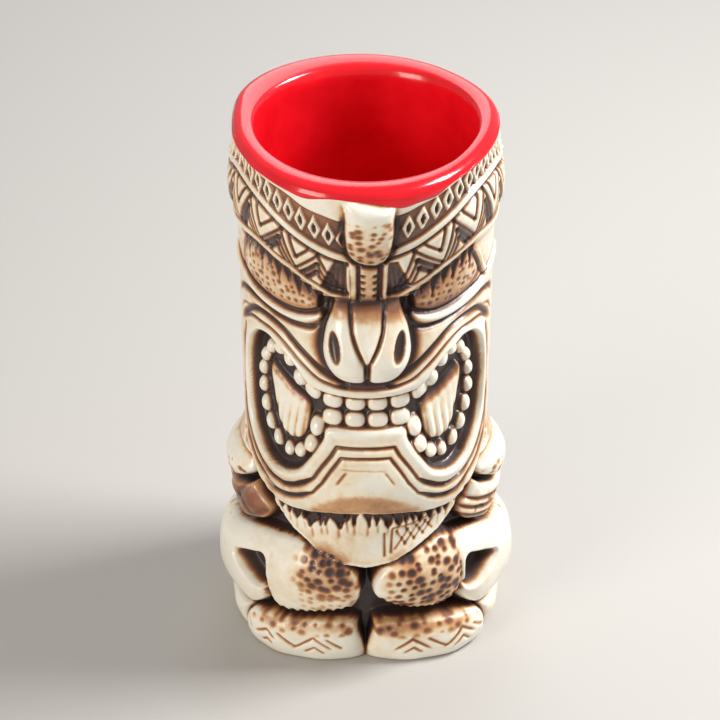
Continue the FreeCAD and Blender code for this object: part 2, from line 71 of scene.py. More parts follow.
LEVELS = (0, 4, 9, 14, 20, 27, 33, 38, 43, 48, 53, 58, 63, 68, 74, 80, 86, 92, 98, 104, 112, 118)
HULL = {
    0: (38.8, 39.6, 40, 40.3, 42, 43.8, 43.8, 42.2, 40.8, 40.2, 42.2,
        44.3, 45.2, 45.2, 44, 42, 39.8, 39.6, 40.4, 39.4, 37, 35.6),
    22: (43, 43.6, 43.2, 42.2, 42.8, 44.2, 44, 42.2, 40.6, 39.9, 41.2,
         42.9, 43.6, 43.6, 42.6, 41, 39.4, 39.2, 39.7, 38.7, 36.8, 35.6),
    36: (45, 46.2, 45.8, 44.2, 43.8, 44.2, 43.4, 41.2, 39.8, 39.3, 40.2,
         41.4, 41.9, 41.9, 41.1, 39.9, 38.7, 38.5, 38.8, 37.9, 36.4, 35.4),
    46: (44.6, 46, 45.8, 44.4, 44.2, 44, 42.4, 40.3, 39, 38.8, 39.4,
         40.02, 40.27, 40.3, 39.7, 38.9, 38.1, 37.9, 37.9, 37.1, 36.1, 35.4),
    62: (41.8, 43.4, 43.6, 44.2, 44.8, 44, 41.8, 40, 40.2, 40.4, 39.6,
         37.87, 37.64, 37.75, 37.55, 37.25, 36.85, 36.65, 36.65, 36.35, 35.75, 35.45),
    75: (39.8, 41.4, 42.4, 44.4, 45.2, 44, 41, 39.6, 41.2, 42.2, 41,
         37.74, 36.09, 36.1, 36.1, 36, 36, 36, 36, 36, 35.9, 35.8),
    90: (37.6, 39, 40.6, 43, 43.8, 42.6, 40.2, 39.2, 41, 42, 40.8,
         37.34, 35.49, 35.5, 35.6, 35.7, 35.8, 35.9, 35.9, 35.9, 35.8, 35.8),
    108: (36, 37.8, 39, 40.6, 41.2, 40.2, 38.4, 37.8, 39, 39.8, 38.8,
          36.34, 35.29, 35.5, 35.6, 35.7, 35.8, 35.9, 35.9, 35.9, 35.8, 35.8),
    130: (33.6, 34.4, 34.8, 35, 35.2, 35.2, 35, 34.8, 35, 35.2, 35.2,
          35.04, 35.29, 35.5, 35.6, 35.7, 35.8, 35.9, 35.9, 35.9, 35.8, 35.8),
    180: (33.2, 33.6, 33.8, 33.8, 33.9, 34, 34.1, 34.2, 34.3, 34.4, 34.5,
          34.74, 35.19, 35.5, 35.6, 35.7, 35.8, 35.9, 35.9, 35.9, 35.8, 35.8),
}
RIM_ROUND = 2.8
NECK = pairs(118, 35.8, 130, 36.0, 140, 36.4, 150, 36.6, 160, 35.6)
# Reach of the rim, measured round from the left of the back.
RIM_REACH = pairs(
    -180, 39.8, -160, 40.2, -145, 40.2, -130, 39.8, -115, 38.7, -100, 36.9, -88, 36.3, -75, 36.8, -60, 37.8,
    -45, 39.7, -30, 42.0, -15, 43.4, 0, 43.6, 15, 43.0, 30, 41.0, 45, 38.5, 58, 36.9, 75, 36.1, 90, 36.1,
    105, 36.6, 120, 36.8, 135, 37.1, 150, 38.0, 165, 39.0, 180, 39.8,
)

PATTERNS = (
    "vessel headband forehead_knob brow_tab nose_bridge nostril_* eye_* lower_lid_* upper_lip lower_lip "
    "chin_plate cheek_* upper_teeth lower_teeth bead_teeth_* tongue_* beard fist_* foot_* heel_* forearm_* "
    "upper_arm_* shoulder_* head_back torso_back"
)
EXPANDED = (pattern.replace("*", word) for pattern in PATTERNS.split() for word in ("left", "right"))
NODES = tuple(dict.fromkeys(EXPANDED))
ID = {name: k for k, name in enumerate(NODES)}


# --- small maths ---------------------------------------------------------------------------------


def ramp(low, high, value):
    t = np.clip((value - low) / (high - low), 0.0, 1.0)
    return t * t * (3.0 - 2.0 * t)


def bell(x, width, power=2):
    return np.exp(-((x / width) ** power))


def rounded(share):
    """A quarter circle's height, from the edge (0) to the middle (1)."""
    return np.sqrt(1 - (1 - share) ** 2)


def spline(points, x):
    """Smooth curve through (x, y) points, held at its ends."""
    xs = np.array([p[0] for p in points], float)
    ys = np.array([p[1] for p in points], float)
    slope = np.gradient(ys, xs)
    k = np.clip(np.searchsorted(xs, x, side="right") - 1, 0, len(xs) - 2)
    h = xs[k + 1] - xs[k]
    t = np.clip((x - xs[k]) / h, 0.0, 1.0)
    a = ys[k] * (2 * t**3 - 3 * t**2 + 1) + slope[k] * h * (t**3 - 2 * t**2 + t)
    return a + ys[k + 1] * (3 * t**2 - 2 * t**3) + slope[k + 1] * h * (t**3 - t**2)


def prow(theta, z):
    """How far the rim reaches out over the face, and a little at the back."""
    front = 7.0 * ((1.0 + np.cos(theta)) / 2.0) ** 4
    return front * ramp(118.0, 158.0, z)


def flare(theta, z):
    """What the uneven rim adds to the neck and the prow."""
    reach = spline(RIM_REACH, np.degrees(theta).ravel()).reshape(np.shape(theta))
    return (reach - NECK[-1][1] - prow(theta, HEIGHT)) * ramp(128.0, 158.0, z)


def hull(theta, z):
    """The smooth outer surface that everything is carved into."""
    angles = np.radians(list(HULL))
    rows = np.array([spline(list(zip(LEVELS, row)), z.ravel()) for row in HULL.values()])
    turn = np.abs(theta.ravel())
    k = np.clip(np.searchsorted(angles, turn, side="right") - 1, 0, len(angles) - 2)
    t = (turn - angles[k]) / (angles[k + 1] - angles[k])
    t = t * t * (3 - 2 * t) * 0.5 + t * 0.5
    at = np.arange(len(turn))
    low = (rows[k, at] * (1 - t) + rows[k + 1, at] * t).reshape(z.shape)
    neck = spline(NECK, z.ravel()).reshape(z.shape)
    mix = ramp(110.0, 124.0, z)
    return low * (1 - mix) + (neck + prow(theta, z) + flare(theta, z)) * mix


def reference(theta, z):
    """The surface on which the face was laid out."""
    k = (1.0 + np.cos(theta)) / 2.0
    return 36.0 + prow(theta, z) + 6.0 * k**6 * bell(z - 72.0, 14.0)


def curve(points, closed=False, count=6):
    """Catmull-Rom through the points, as a finer polyline."""
    p = np.array(points, float)
    first, last = (p[-1:], p[:2]) if closed else (2 * p[:1] - p[1:2], 2 * p[-1:] - p[-2:-1])
    ring = np.vstack([first, p, last])
    t = (np.arange(count) / count)[:, None]
    out = []
    for a, b, c, d in zip(ring[:-3], ring[1:-2], ring[2:-1], ring[3:]):
        square = (2 * a - 5 * b + 4 * c - d) * t**2
        out.append(0.5 * (2 * b + (c - a) * t + square + (3 * b - a - 3 * c + d) * t**3))
    if not closed:
        out.append(p[-1:])
    return np.vstack(out)


def mirror(points, side):
    return [(side * a, z) for a, z in points]


def distance(a, z, line):
    """Distance from each (a, z) to a polyline, and how far along it the nearest point is (0 to 1)."""
    best = np.full(a.shape, 1e9)
    along = np.zeros(a.shape)
    count = len(line) - 1
    for k in range(count):
        (x0, z0), (x1, z1) = line[k], line[k + 1]
        dx, dz = x1 - x0, z1 - z0
        t = np.clip(((a - x0) * dx + (z - z0) * dz) / max(dx * dx + dz * dz, 1e-9), 0.0, 1.0)
        d = np.hypot(a - x0 - t * dx, z - z0 - t * dz)
        closer = d < best
        best[closer] = d[closer]
        along[closer] = (k + t[closer]) / count
    return best, along


def inside(a, z, ring):
    """Which points lie inside a closed polygon."""
    hit = np.zeros(a.shape, bool)
    for (x0, z0), (x1, z1) in zip(ring, np.roll(ring, -1, axis=0)):
        if z0 == z1:
            continue
        crosses = (z0 > z) != (z1 > z)
        hit ^= crosses & (a < (x1 - x0) * (z - z0) / (z1 - z0) + x0)
    return hit


def blur(field, spread):
    """Gaussian blur of a wall field, in cells; it wraps round the wall and holds at top and bottom."""
    reach = int(3 * spread) + 1
    taps = np.exp(-0.5 * (np.arange(-reach, reach + 1) / spread) ** 2)
    taps /= taps.sum()
    for axis, mode in ((1, "wrap"), (0, "edge")):
        pad = [(0, 0), (0, 0)]
        pad[axis] = (reach, reach)
        wide = np.pad(field, pad, mode=mode)
        size = field.shape[axis]
        parts = (wide[:, k : k + size] if axis else wide[k : k + size] for k in range(len(taps)))
        field = sum(tap * part for tap, part in zip(taps, parts))
    return field


# --- the wall ------------------------------------------------------------------------------------


class Wall:
    """Fields over the unrolled wall. a and z are layout coordinates, turn and level the true ones."""

    def __init__(self):
        turn = (np.arange(COLUMNS) / COLUMNS * 2 - 1) * math.pi
        level = np.linspace(0.0, HEIGHT, ROWS)
        self.theta, self.level = np.meshgrid(turn, level)
        self.shape = self.theta.shape
        self.hull = hull(self.theta, self.level)
        a, z = self.layout()
        self.a, self.z = a.ravel(), z.ravel()
        self.t, self.v = (self.theta * UNIT).ravel(), self.level.ravel()
        size = self.a.size
        self.base = self.hull.ravel().copy()
        self.h = np.zeros(size)
        # The stain field holds the carving's brown stain and also painted shade on the chin's underside, the
        # nose, the tongue's rim, the knob's lower part and the ground round the limbs.
        self.stain_and_shade = np.zeros(size)
        self.label = np.full(size, ID["vessel"])
        self.rng = np.random.default_rng(7)

    def layout(self):
        """Where each point of the hull falls on the layout surface, seen from the viewpoint."""
        eye = VIEWPOINT
        x = self.hull * np.sin(self.theta)
        y = -self.hull * np.cos(self.theta)
        dx, dy, dz = x - eye[0], y - eye[1], self.level - eye[2]
        theta, z = self.theta.copy(), self.level.copy()
        for _ in range(8):
            r = reference(theta, z)
            qa = dx * dx + dy * dy
            qb = eye[0] * dx + eye[1] * dy
            qc = eye[0] ** 2 + eye[1] ** 2 - r * r
            root = np.sqrt(np.maximum(qb * qb - qa * qc, 0.0))
            s = (-qb - root) / qa
            theta = np.arctan2(eye[0] + s * dx, -(eye[1] + s * dy))
            z = eye[2] + s * dz
        keep = 1.0 - ramp(math.radians(60), math.radians(78), np.abs(self.theta))
        a = UNIT * (theta * keep + self.theta * (1 - keep))
        return a, z * keep + self.level * (1 - keep)

    def near(self, line, margin, true=False):
        a, z = (self.t, self.v) if true else (self.a, self.z)
        low, high = np.min(line, axis=0) - margin, np.max(line, axis=0) + margin
        at = np.flatnonzero((a > low[0]) & (a < high[0]) & (z > low[1]) & (z < high[1]))
        return at, a[at], z[at]

    def sink(self, at, share, depth, stain_and_shade):
        self.h[at] -= depth * share
        self.stain_and_shade[at] += stain_and_shade * share

    def groove(self, points, width, depth, stain_and_shade=0.5, taper=0.0, smooth=True, true=False):
        line = curve(points) if smooth else np.array(points, float)
        at, a, z = self.near(line, 3 * width, true)
        d, along = distance(a, z, line)
        f = bell(d, width)
        if taper:
            f *= np.clip(np.minimum(along, 1 - along) / taper, 0, 1)
        self.sink(at, f, depth, stain_and_shade)

    def cut(self, points, width, depth, stain_and_shade, taper=0.0, true=False):
        """A groove of straight runs."""
        self.groove(points, width, depth, stain_and_shade, taper, False, true)

    def ridge(self, points, width, height, true=False):
        line = curve(points)
        at, a, z = self.near(line, 3 * width, true)
        d, _ = distance(a, z, line)
        self.h[at] += height * bell(d, width, 3)

    def region(self, points, margin, smooth=True, true=False):
        """Points near a closed outline, and their signed distance to it: negative inside."""
        ring = curve(points, closed=True) if smooth else np.array(points, float)
        at, a, z = self.near(ring, margin, true)
        d, _ = distance(a, z, np.vstack([ring, ring[:1]]))
        return at, np.where(inside(a, z, ring), -d, d), a, z

    def dome(self, centre, half, height, tilt=0.0, node=None, power=2.0, floor=None, stain_and_shade=0.0,
             true=False):
        """A rounded mound; with floor it stands on that offset rather than on what is there."""
        c, s = math.cos(math.radians(tilt)), math.sin(math.radians(tilt))
        reach = max(half)
        corners = [(centre[0] - reach, centre[1] - reach), (centre[0] + reach, centre[1] + reach)]
        at, a, z = self.near(corners, 0.5, true)
        u = ((a - centre[0]) * c + (z - centre[1]) * s) / half[0]
        w = ((z - centre[1]) * c - (a - centre[0]) * s) / half[1]
        q = np.abs(u) ** power + np.abs(w) ** power
        f = np.sqrt(np.clip(1.0 - q, 0.0, 1.0))
        hit = q < 1
        if floor is None:
            self.h[at] += height * f
        else:
            self.h[at[hit]] = np.maximum(self.h[at[hit]], floor[at[hit]] + height * f[hit])
        self.stain_and_shade[at] += stain_and_shade * f
        if node:
            self.label[at[hit]] = ID[node]

    def cells(self, node):
        """A node's cells, with how far round and how high each one is."""
        at = np.flatnonzero(self.label == ID[node])
        return at, np.abs(self.t[at]), self.v[at]

    def mark(self, at, sd, node):
        self.label[at[sd < 0]] = ID[node]

    def pits(self, at, amount, pitch, width, depth, stain_and_shade):
        """Small round hollows on a jittered grid; amount (0 to 1) says how deep each place takes them."""
        t, v = self.t[at], self.v[at]
        i, j = np.floor(t / pitch).astype(int), np.floor(v / pitch).astype(int)
        best = np.full(t.shape, 9.0)
        table = self.rng.random((2048, 3))
        for di in (-1, 0, 1):
            for dj in (-1, 0, 1):
                key = ((i + di) * 73 + (j + dj) * 1009) % 2048
                x = (i + di + 0.5 + 0.7 * (table[key, 0] - 0.5)) * pitch
                y = (j + dj + 0.5 + 0.7 * (table[key, 1] - 0.5)) * pitch
                size = width * (0.6 + 0.7 * table[key, 2])
                best = np.minimum(best, np.hypot(t - x, v - y) / size)
        f = bell(best, 1.0, 4) * amount
        self.sink(at, f, depth, stain_and_shade)


# --- the headband --------------------------------------------------------------------------------

LOW_EDGE = pairs(
    0, 123.0, 10, 123.5, 15, 126, 20, 129, 25, 131, 30, 132.8, 35, 133.5, 40, 133, 48, 132, 60, 131.5,
    114, 131.5,
)
MID_LEFT = pairs(
    0, 136.5, 5, 137, 10, 138.5, 16, 141.5, 22, 145, 28, 148.5, 33, 150.5, 38, 151.6, 44, 151.8, 52, 150,
    60, 149, 114, 149,
)
MID_RIGHT = pairs(
    0, 136.5, 7, 139, 12, 141, 17, 144, 22, 147, 28, 150.5, 34, 152.2, 44, 152.0, 52, 150, 60, 149,
    114, 149,
)
TOP_LEFT = pairs(
    0, 149, 5, 149.5, 10, 151, 15, 152.5, 20, 155.2, 25, 157, 38, 159.3, 48, 158.5, 60, 157.4, 114, 157.4,
)
TOP_RIGHT = pairs(
    0, 150, 5, 151, 10, 152.5, 15, 155, 20, 156.6, 28, 159, 36, 160.5, 48, 158.8, 60, 157.4, 114, 157.4,
)
GEMS_LEFT = pairs(
    5.6, 143.6, 9, 144.5, 12.5, 146, 16, 147.7, 19.3, 149.5, 22.6, 151, 26, 152.7, 29.6, 154.2, 33.2, 155.3,
    37, 156.2, 41, 156.4, 45, 155.8, 49, 154.9, 53, 154.1,
)
GEMS_RIGHT = pairs(
    10, 147, 13.5, 149, 17, 151.2, 20.4, 152.7, 23.8, 154.2, 27.2, 155.7, 30.4, 156.8, 33.7, 157.4,
    37.2, 157.6, 41, 156.8, 45, 155.9, 49, 154.9, 53, 154.1,
)
TEETH_LEFT = pairs(7, 0, 12, 1, 18.5, 0, 22, 1, 30, 0, 33, 1, 41, 0, 44, 1, 52, 0, 55, 1)
TEETH_RIGHT = pairs(8.5, 0, 12, 1, 20.5, 0, 22.5, 1, 31.5, 0, 33.5, 1, 41.5, 0, 44.5, 1, 52, 0, 55, 1)


def pick_side(side, left, right):
    return left if side < 0 else right


def carve_headband(w):
    turn = np.abs(w.a)
    low = spline(LOW_EDGE, turn)
    left = w.a < 0
    mid = np.where(left, spline(MID_LEFT, turn), spline(MID_RIGHT, turn))
    top = np.where(left, spline(TOP_LEFT, turn), spline(TOP_RIGHT, turn))
    share = np.clip((w.z - low) / (mid - low), 0, 1)
    w.h += 1.7 * np.sin(math.pi * share) ** 0.8 * (w.z > low) * (w.z < mid)
    w.h += 0.5 * bell(w.z - low - 0.4, 1.5, 4)
    w.h -= 0.5 * bell(w.z - low - 2.6, 0.5)
    w.h -= 0.9 * bell(w.z - mid + 1.5, 0.6)
    w.h += 0.35 * bell(w.z - mid, 0.8, 4)
    w.stain_and_shade += 0.45 * bell(w.z - mid + 1.5, 0.7)
    w.stain_and_shade += 0.3 * bell(w.z - low - 2.6, 0.6)
    w.stain_and_shade += 0.25 * bell(w.z - low - 0.5, 0.45) * (turn < 34)
    strip = ramp(0.9, 1.6, w.z - mid) * ramp(0.3, -0.5, w.z - top)
    w.h -= 0.95 * strip
    w.stain_and_shade += 0.36 * strip
    w.label[w.z > low - LAP] = ID["headband"]
    carve_gems(w)
    carve_zigzag(w)


def carve_gems(w):
    for side in SIDES:
        gems = list(pick_side(side, GEMS_LEFT, GEMS_RIGHT))
        gems += [(53 + 3.72 * k, 153.4) for k in range(1, 17)]
        for a, z in gems:
            at, pa, pz = w.near([(side * a, z)], 4.4)
            across, up = np.abs(pa - side * a), np.abs(pz - z)
            body = ramp(1.08, 0.84, across / 1.75 + up / 4.0)
            eye = ramp(1.0, 0.55, (across / 0.78) ** 1.2 + (up / 2.5) ** 1.2)
            w.h[at] += 1.15 * body - 1.2 * eye
            w.stain_and_shade[at] += 1.15 * eye - 0.5 * body


def carve_zigzag(w):
    for side in SIDES:
        base = list(pick_side(side, TEETH_LEFT, TEETH_RIGHT))
        knots = base + [p for k in range(1, 6) for p in ((52 + 11 * k, 0), (55 + 11 * k, 1))]
        knots.append((113.1, 0))
        mids = pick_side(side, MID_LEFT, MID_RIGHT)
        for first, peak, last in zip(knots[:-2], knots[1:-1], knots[2:]):
            zigzag_cell(w, side, first, peak, last, mids)


def band_point(side, a, share, mids):
    low = float(spline(LOW_EDGE, np.array([a]))[0]) + 3.2
    mid = float(spline(mids, np.array([a]))[0]) - 2.2
    return (side * a, low + (mid - low) * share)


def zigzag_cell(w, side, first, peak, last, mids):
    """One chevron: its outline and the grooves nested inside it."""
    foot, crown = first[1], peak[1]
    middle = (first[0] + last[0]) / 2
    scales = (1.0, 0.7, 0.42) if crown == 1 else (0.5,)
    for k, s in enumerate(scales):
        line = []
        for a, share in (first, peak, last):
            line.append((middle + (a - middle) * s, foot + (share - foot) * s))
        points = [band_point(side, a, share, mids) for a, share in line]
        long_first = abs(line[1][0] - line[0][0]) > abs(line[2][0] - line[1][0])
        slopes = ((points[0], points[1]), (points[1], points[2]))
        for n, slope in enumerate(slopes):
            wide = (n == 0) == long_first and k > 0 and crown == 1
            width = 0.72 if wide else 0.42
            depth = 1.05 if wide else 0.7
            w.cut(slope, width, depth, 0.95 if wide else 0.8)


# --- the face ------------------------------------------------------------------------------------

EYE = {
    -1: pairs(-43, 122, -42, 127, -38, 131, -33, 131.4, -28, 130.2, -22, 127.2, -17, 124, -12, 120.6,
              -14, 118.2, -18, 116.9, -24, 116.6, -30, 117.2, -37, 118.6, -41, 120),
    1: pairs(12, 121, 17, 124.5, 22, 128, 27, 130.8, 31, 131, 34, 128.5, 37, 123, 34, 120, 29, 118.2,
             23, 117.2, 18, 117.2, 14, 118.4),
}
LID = pairs(11.5, 118.0, 14, 115.7, 20, 114.1, 28, 114.8, 38, 116.6, 47, 118.5, 54, 121)
UNDER_LID = pairs(12.5, 113.6, 17, 111.6, 25, 111.8, 33, 113, 40, 113.2, 47, 111.5, 52, 108)
LIP_A = pairs(
    49, 100, 43, 105.5, 38, 109, 33, 109.8, 28, 109.2, 24, 107.5, 19, 103.5, 14, 99.5, 10, 97, 5, 95.5,
    0, 95.3,
)
LIP_B = pairs(
    47, 101, 40, 105.5, 34, 106.3, 29, 106, 24, 103.5, 19, 99.5, 14, 95.8, 10, 94.5, 7, 94, 0, 93.8,
)
MOUTH_HALF = pairs(
    0, 91, 6, 91.2, 12, 91.8, 16, 92.8, 19, 95.5, 23, 99.5, 28, 102.3, 31, 103.6, 36, 102.4, 40.5, 97,
    42, 88, 40, 78, 35.5, 68, 30, 62.5, 25, 61.5, 19, 64.5, 14.5, 71, 11, 78, 9.6, 81.9, 0, 82.3,
)
CHIN_LINES = (
    pairs(0, 77, 7.2, 76.9, 8.5, 74, 11, 69.5, 14, 63.5, 17, 60.5, 21, 57.5, 25, 56, 30, 56.5, 35, 59,
          40, 64, 43.5, 70, 46, 80, 46.5, 92, 44, 101),
    pairs(0, 74, 6, 73.8, 8.5, 69, 11.5, 62.5, 15, 57, 20, 53.7, 25, 52, 30, 52, 35, 55, 40, 58.5, 45, 66,
          48, 78),
)
LIP_LOW = pairs(
    46.5, 92, 46, 80, 43.5, 70, 40, 60.5, 35, 55, 30, 52, 25, 52, 20, 53.7, 15, 57, 11.5, 62.5, 8.5, 69,
    6, 73.8,
)
JAW = pairs(0, 51, 10, 50, 20, 48.3, 28, 48, 33, 49.5, 38, 52, 43, 57, 47, 64, 50, 74)
TEETH_TOP = ((3.1, 89.5, 3.1, 2.3, 0), (9.5, 89.8, 3.15, 2.4, 4), (15.9, 91.2, 3.2, 2.5, 16))
TEETH_LOW = ((3.1, 84.8, 3.05, 2.35), (9.3, 84.9, 3.1, 2.4))
# Each bead: centre, half width and height, tilt in degrees.
BEADS = (
    (20.3, 93.8, 2.3, 2.6, 40), (24.5, 98.3, 2.2, 2.6, 20), (28.5, 100.4, 2.0, 2.4, 0),
    (32.5, 99.1, 1.9, 2.5, -20), (35.6, 95, 2.0, 2.5, -30), (37, 90, 1.9, 2.4, 0),
    (36.6, 84.6, 2.0, 2.5, 5), (34.4, 79.5, 2.0, 2.6, 20), (31.2, 75, 1.9, 2.6, 30),
    (27.3, 71.6, 1.8, 2.7, 10), (22.6, 70.2, 1.8, 2.7, -15), (18.2, 72, 1.9, 2.7, -30),
    (14.6, 76.2, 2.0, 2.8, -25), (13.2, 82, 2.1, 2.8, -10),
)
TONGUE = pairs(
    32, 94.5, 28, 93.0, 22, 90.2, 16.2, 87.8, 15.6, 83, 17, 77, 21.3, 74.6, 26, 76.5, 29.6, 83, 32.4, 90,
)
JAW_END = 47
BEARD_LOW = pairs(0, 29, 5, 30, 12, 32.6, 20, 36.5, 25, 39.3, 30, 43.5, 35, 47, 40, 51.5, 45, 58)
SPIKES = ((-36, 1.2, 3), (-32.5, 1.2, 3.5), (-28.5, 1.3, 4), (-25.6, 0.9, 4), (-23, 1.2, 5), (-20, 1.0, 4.5),
          (-17, 1.9, 7), (-14, 0.9, 6), (-12, 0.9, 6), (-8.5, 1.9, 7), (-5.6, 0.6, 5), (-3.5, 0.7, 6),
          (0.5, 0.7, 6.5), (4, 0.8, 5.5), (7, 1.7, 6.5), (10, 1.6, 6), (13, 0.8, 5), (15.2, 0.8, 4.5),
          (17.4, 1.1, 5), (21, 1.2, 4.5), (24, 1.0, 4), (27.5, 1.2, 4), (31.5, 1.2, 3.5), (35.5, 1.2, 3))


def carve_eyes(w):
    for side, name in ((-1, "eye_left"), (1, "eye_right")):
        at, sd = w.region(EYE[side], 5.0)[:2]
        bulge = np.clip((1.2 - sd) / 7.0, 0, 1)
        w.h[at] += 2.3 * rounded(bulge) - 1.4 * ramp(2.2, -0.2, sd)
        w.stain_and_shade[at] += 0.14 * ramp(0.8, -1.0, sd) + 0.4 * bell(sd - 0.3, 0.9)
        w.mark(at, sd, name)
        w.pits(at, ramp(-0.4, -2.2, sd), 2.15, 0.6, 0.32, 0.36)
        jagged_brow(w, side)


def jagged_brow(w, side):
    """Dark notches that hang from the band's lower edge over the eye."""
    stop = 43 if side < 0 else 33
    for k, a in enumerate(np.arange(13.0, stop, 3.15)):
        top = float(spline(LOW_EDGE, np.array([a]))[0]) - 0.9
        drop = (5.6, 4.4, 6.2, 4.8)[k % 4] * (1.0 if a > 18 else 0.7)
        at, pa, pz = w.near([(side * a, top - 2.5)], 6.0)
        fall = np.clip((top - pz) / drop, 0, 1)
        half = 1.3 * (1 - fall) ** 1.2
        lean = side * 0.9 * fall
        f = ramp(0.3, -0.3, np.abs(pa - side * a + lean) - half) * (pz < top + 0.6) * (pz > top - drop)
        w.sink(at, f, 0.8, 0.8)


def carve_lids(w):
    for side, word in WORDS:
        w.groove(mirror(UNDER_LID, side), 0.85, 1.2, 0.75, taper=0.12)
        line = mirror(LID, side)
        w.ridge(line, 1.15, 0.9)
        w.groove([(a, z + 1.9) for a, z in line], 0.6, 0.8, 0.5, taper=0.1)
        at, a, z = w.near(curve(line), 2)
        d, _ = distance(a, z, curve(line))
        w.label[at[(d < 1.3)]] = ID["lower_lid_" + word]
        w.groove(mirror(((40, 108.8), (46, 106.5), (50, 102)), side), 0.45, 0.5, 0.3, taper=0.3)
    w.groove(pairs(31.5, 131.5, 34.5, 127.5, 37.5, 122.5, 40, 119), 0.55, 0.8, 0.5, taper=0.2)
    w.ridge(pairs(32.5, 131, 36, 127.5, 39.5, 122, 42, 119), 1.1, 0.6)


def face_labels(w):
    """Cheeks from the eyes down to the lip, then the lips, chin and the vessel's own back."""
    turn = np.abs(w.a)
    below = w.z < spline(LOW_EDGE, turn) - LAP
    cheek = below & (turn < 56) & (w.z > 46)
    w.label[cheek & (w.a < 0)] = ID["cheek_left"]
    w.label[cheek & (w.a >= 0)] = ID["cheek_right"]
    w.label[below & (turn >= 56) & (w.z > 60)] = ID["head_back"]
    w.label[(turn >= 75) & (w.z <= 60)] = ID["torso_back"]
    ring = [(-a, z) for a, z in LIP_A[:-1]] + [(a, z) for a, z in LIP_A[::-1]]
    loop = ring + list(LIP_LOW)
    loop += [(-a, z) for a, z in loop[:len(ring) - 1:-1]]
    at, sd, a, z = w.region(loop, 1.0)
    upper = z > 84
    w.label[at[(sd < 0) & upper]] = ID["upper_lip"]
    w.label[at[(sd < 0) & ~upper]] = ID["lower_lip"]
    outline = [(-a, z) for a, z in JAW[::-1]] + list(JAW[1:]) + [(50, 83), (0, 84), (-50, 83)]
    at, sd, a, z = w.region(outline, 0.5, smooth=False)
    lip = np.isin(w.label[at], (ID["lower_lip"], ID["upper_lip"]))
    w.label[at[(sd < 0) & ~lip & (np.abs(a) < JAW_END)]] = ID["chin_plate"]


def both(points):
    """One line through both sides of a symmetric path that starts on the centre line."""
    return [(-a, z) for a, z in points[::-1]] + list(points)[1:]


def carve_lips(w):
    w.groove(both(LIP_A[::-1]), 0.95, 1.3, 0.8, taper=0.03)
    w.groove(both(LIP_B[::-1]), 0.5, 0.75, 0.55, taper=0.03)
    for k, line in enumerate(CHIN_LINES):
        w.cut(both(line), 0.5 - 0.06 * k, 0.8, 0.55)
        for side in SIDES:
            w.groove(mirror(line[4:], side), 1.05, 0.9, 0.75, taper=0.12)
    for side in SIDES:
        w.cut(mirror(((4.5, 69.5), (7.8, 62.5)), side), 0.35, 0.45, 0.35, taper=0.2)
    w.cut(((-5.4, 70), (0, 70), (4.5, 69.5)), 0.3, 0.2, 0.15)


def carve_mouth(w):
    at, sd = w.region(both(MOUTH_HALF)[:-1], 3.0)[:2]
    opening = ramp(0.4, -0.7, sd)
    lip = bell(sd - 1.3, 1.3)
    floor = -2.5 - 1.5 * ramp(12, 20, np.abs(w.a))
    w.h[at] += 0.5 * lip * (1 - opening)
    w.h[at] = w.h[at] * (1 - opening) + floor[at] * opening
    w.stain_and_shade[at] += 1.1 * opening
    mouth = at[sd < -0.4]
    w.label[mouth] = ID["vessel"]
    bare = w.h.copy()
    for side, word in WORDS:
        shift_down(w, 0.9)
        tongue(w, side, "tongue_" + word, floor)
        for a, z, wide, tall, tilt in BEADS:
            half = (1.1 * wide, 1.08 * tall)
            w.dome((side * a, z), half, bead_height(a), side * -tilt, "bead_teeth_" + word, 2.4, floor)
        shift_down(w, -0.9)
        shift_down(w, 0.45)
        for a, z, wide, tall, tilt in TEETH_TOP:
            w.dome((side * a + 0.2, z), (wide, tall), 2.4, side * tilt, "upper_teeth", 2.8, floor)
        for a, z, wide, tall in TEETH_LOW:
            w.dome((side * a + 0.2, z), (wide, tall), 2.3, 0, "lower_teeth", 2.6, floor)
        shift_down(w, -0.45)
    rise = w.h[mouth] - bare[mouth]
    w.stain_and_shade[mouth] -= 1.3 * ramp(0.15, 1.3, rise)


def shift_down(w, amount):
    """Pieces set below the lips look higher than they are, so their outlines are read lower."""
    w.z = w.z + amount


def bead_height(a):
    return 3.1 if a < 22 else 2.7


def tongue(w, side, node, floor):
    at, sd, a, z = w.region(mirror(TONGUE, side), 2.0)
    body = np.clip(-sd / 3.5, 0, 1)
    f = rounded(body)
    hit = sd < 0
    flute = np.cos((np.abs(a) - 16) * 2.4 + (z - 80) * 0.14)
    low = ramp(88, 80, z)
    height = 2.6 * f + 0.22 * flute * f * (0.2 + low)
    w.h[at[hit]] = np.maximum(w.h[at[hit]], (floor[at] + height)[hit])
    # Painted shade: the tongue is darkened round its rim, most toward its top where it sits under the lip;
    # the flute lines are stained grooves.
    edge = ramp(3.2, 0.3, -sd)
    lines = ramp(-0.2, -0.95, flute) * (0.25 + 0.75 * low)
    w.stain_and_shade[at] += hit * (0.42 * lines * f + edge * (0.25 + 0.45 * ramp(83, 90, z)))
    w.label[at[hit]] = ID[node]


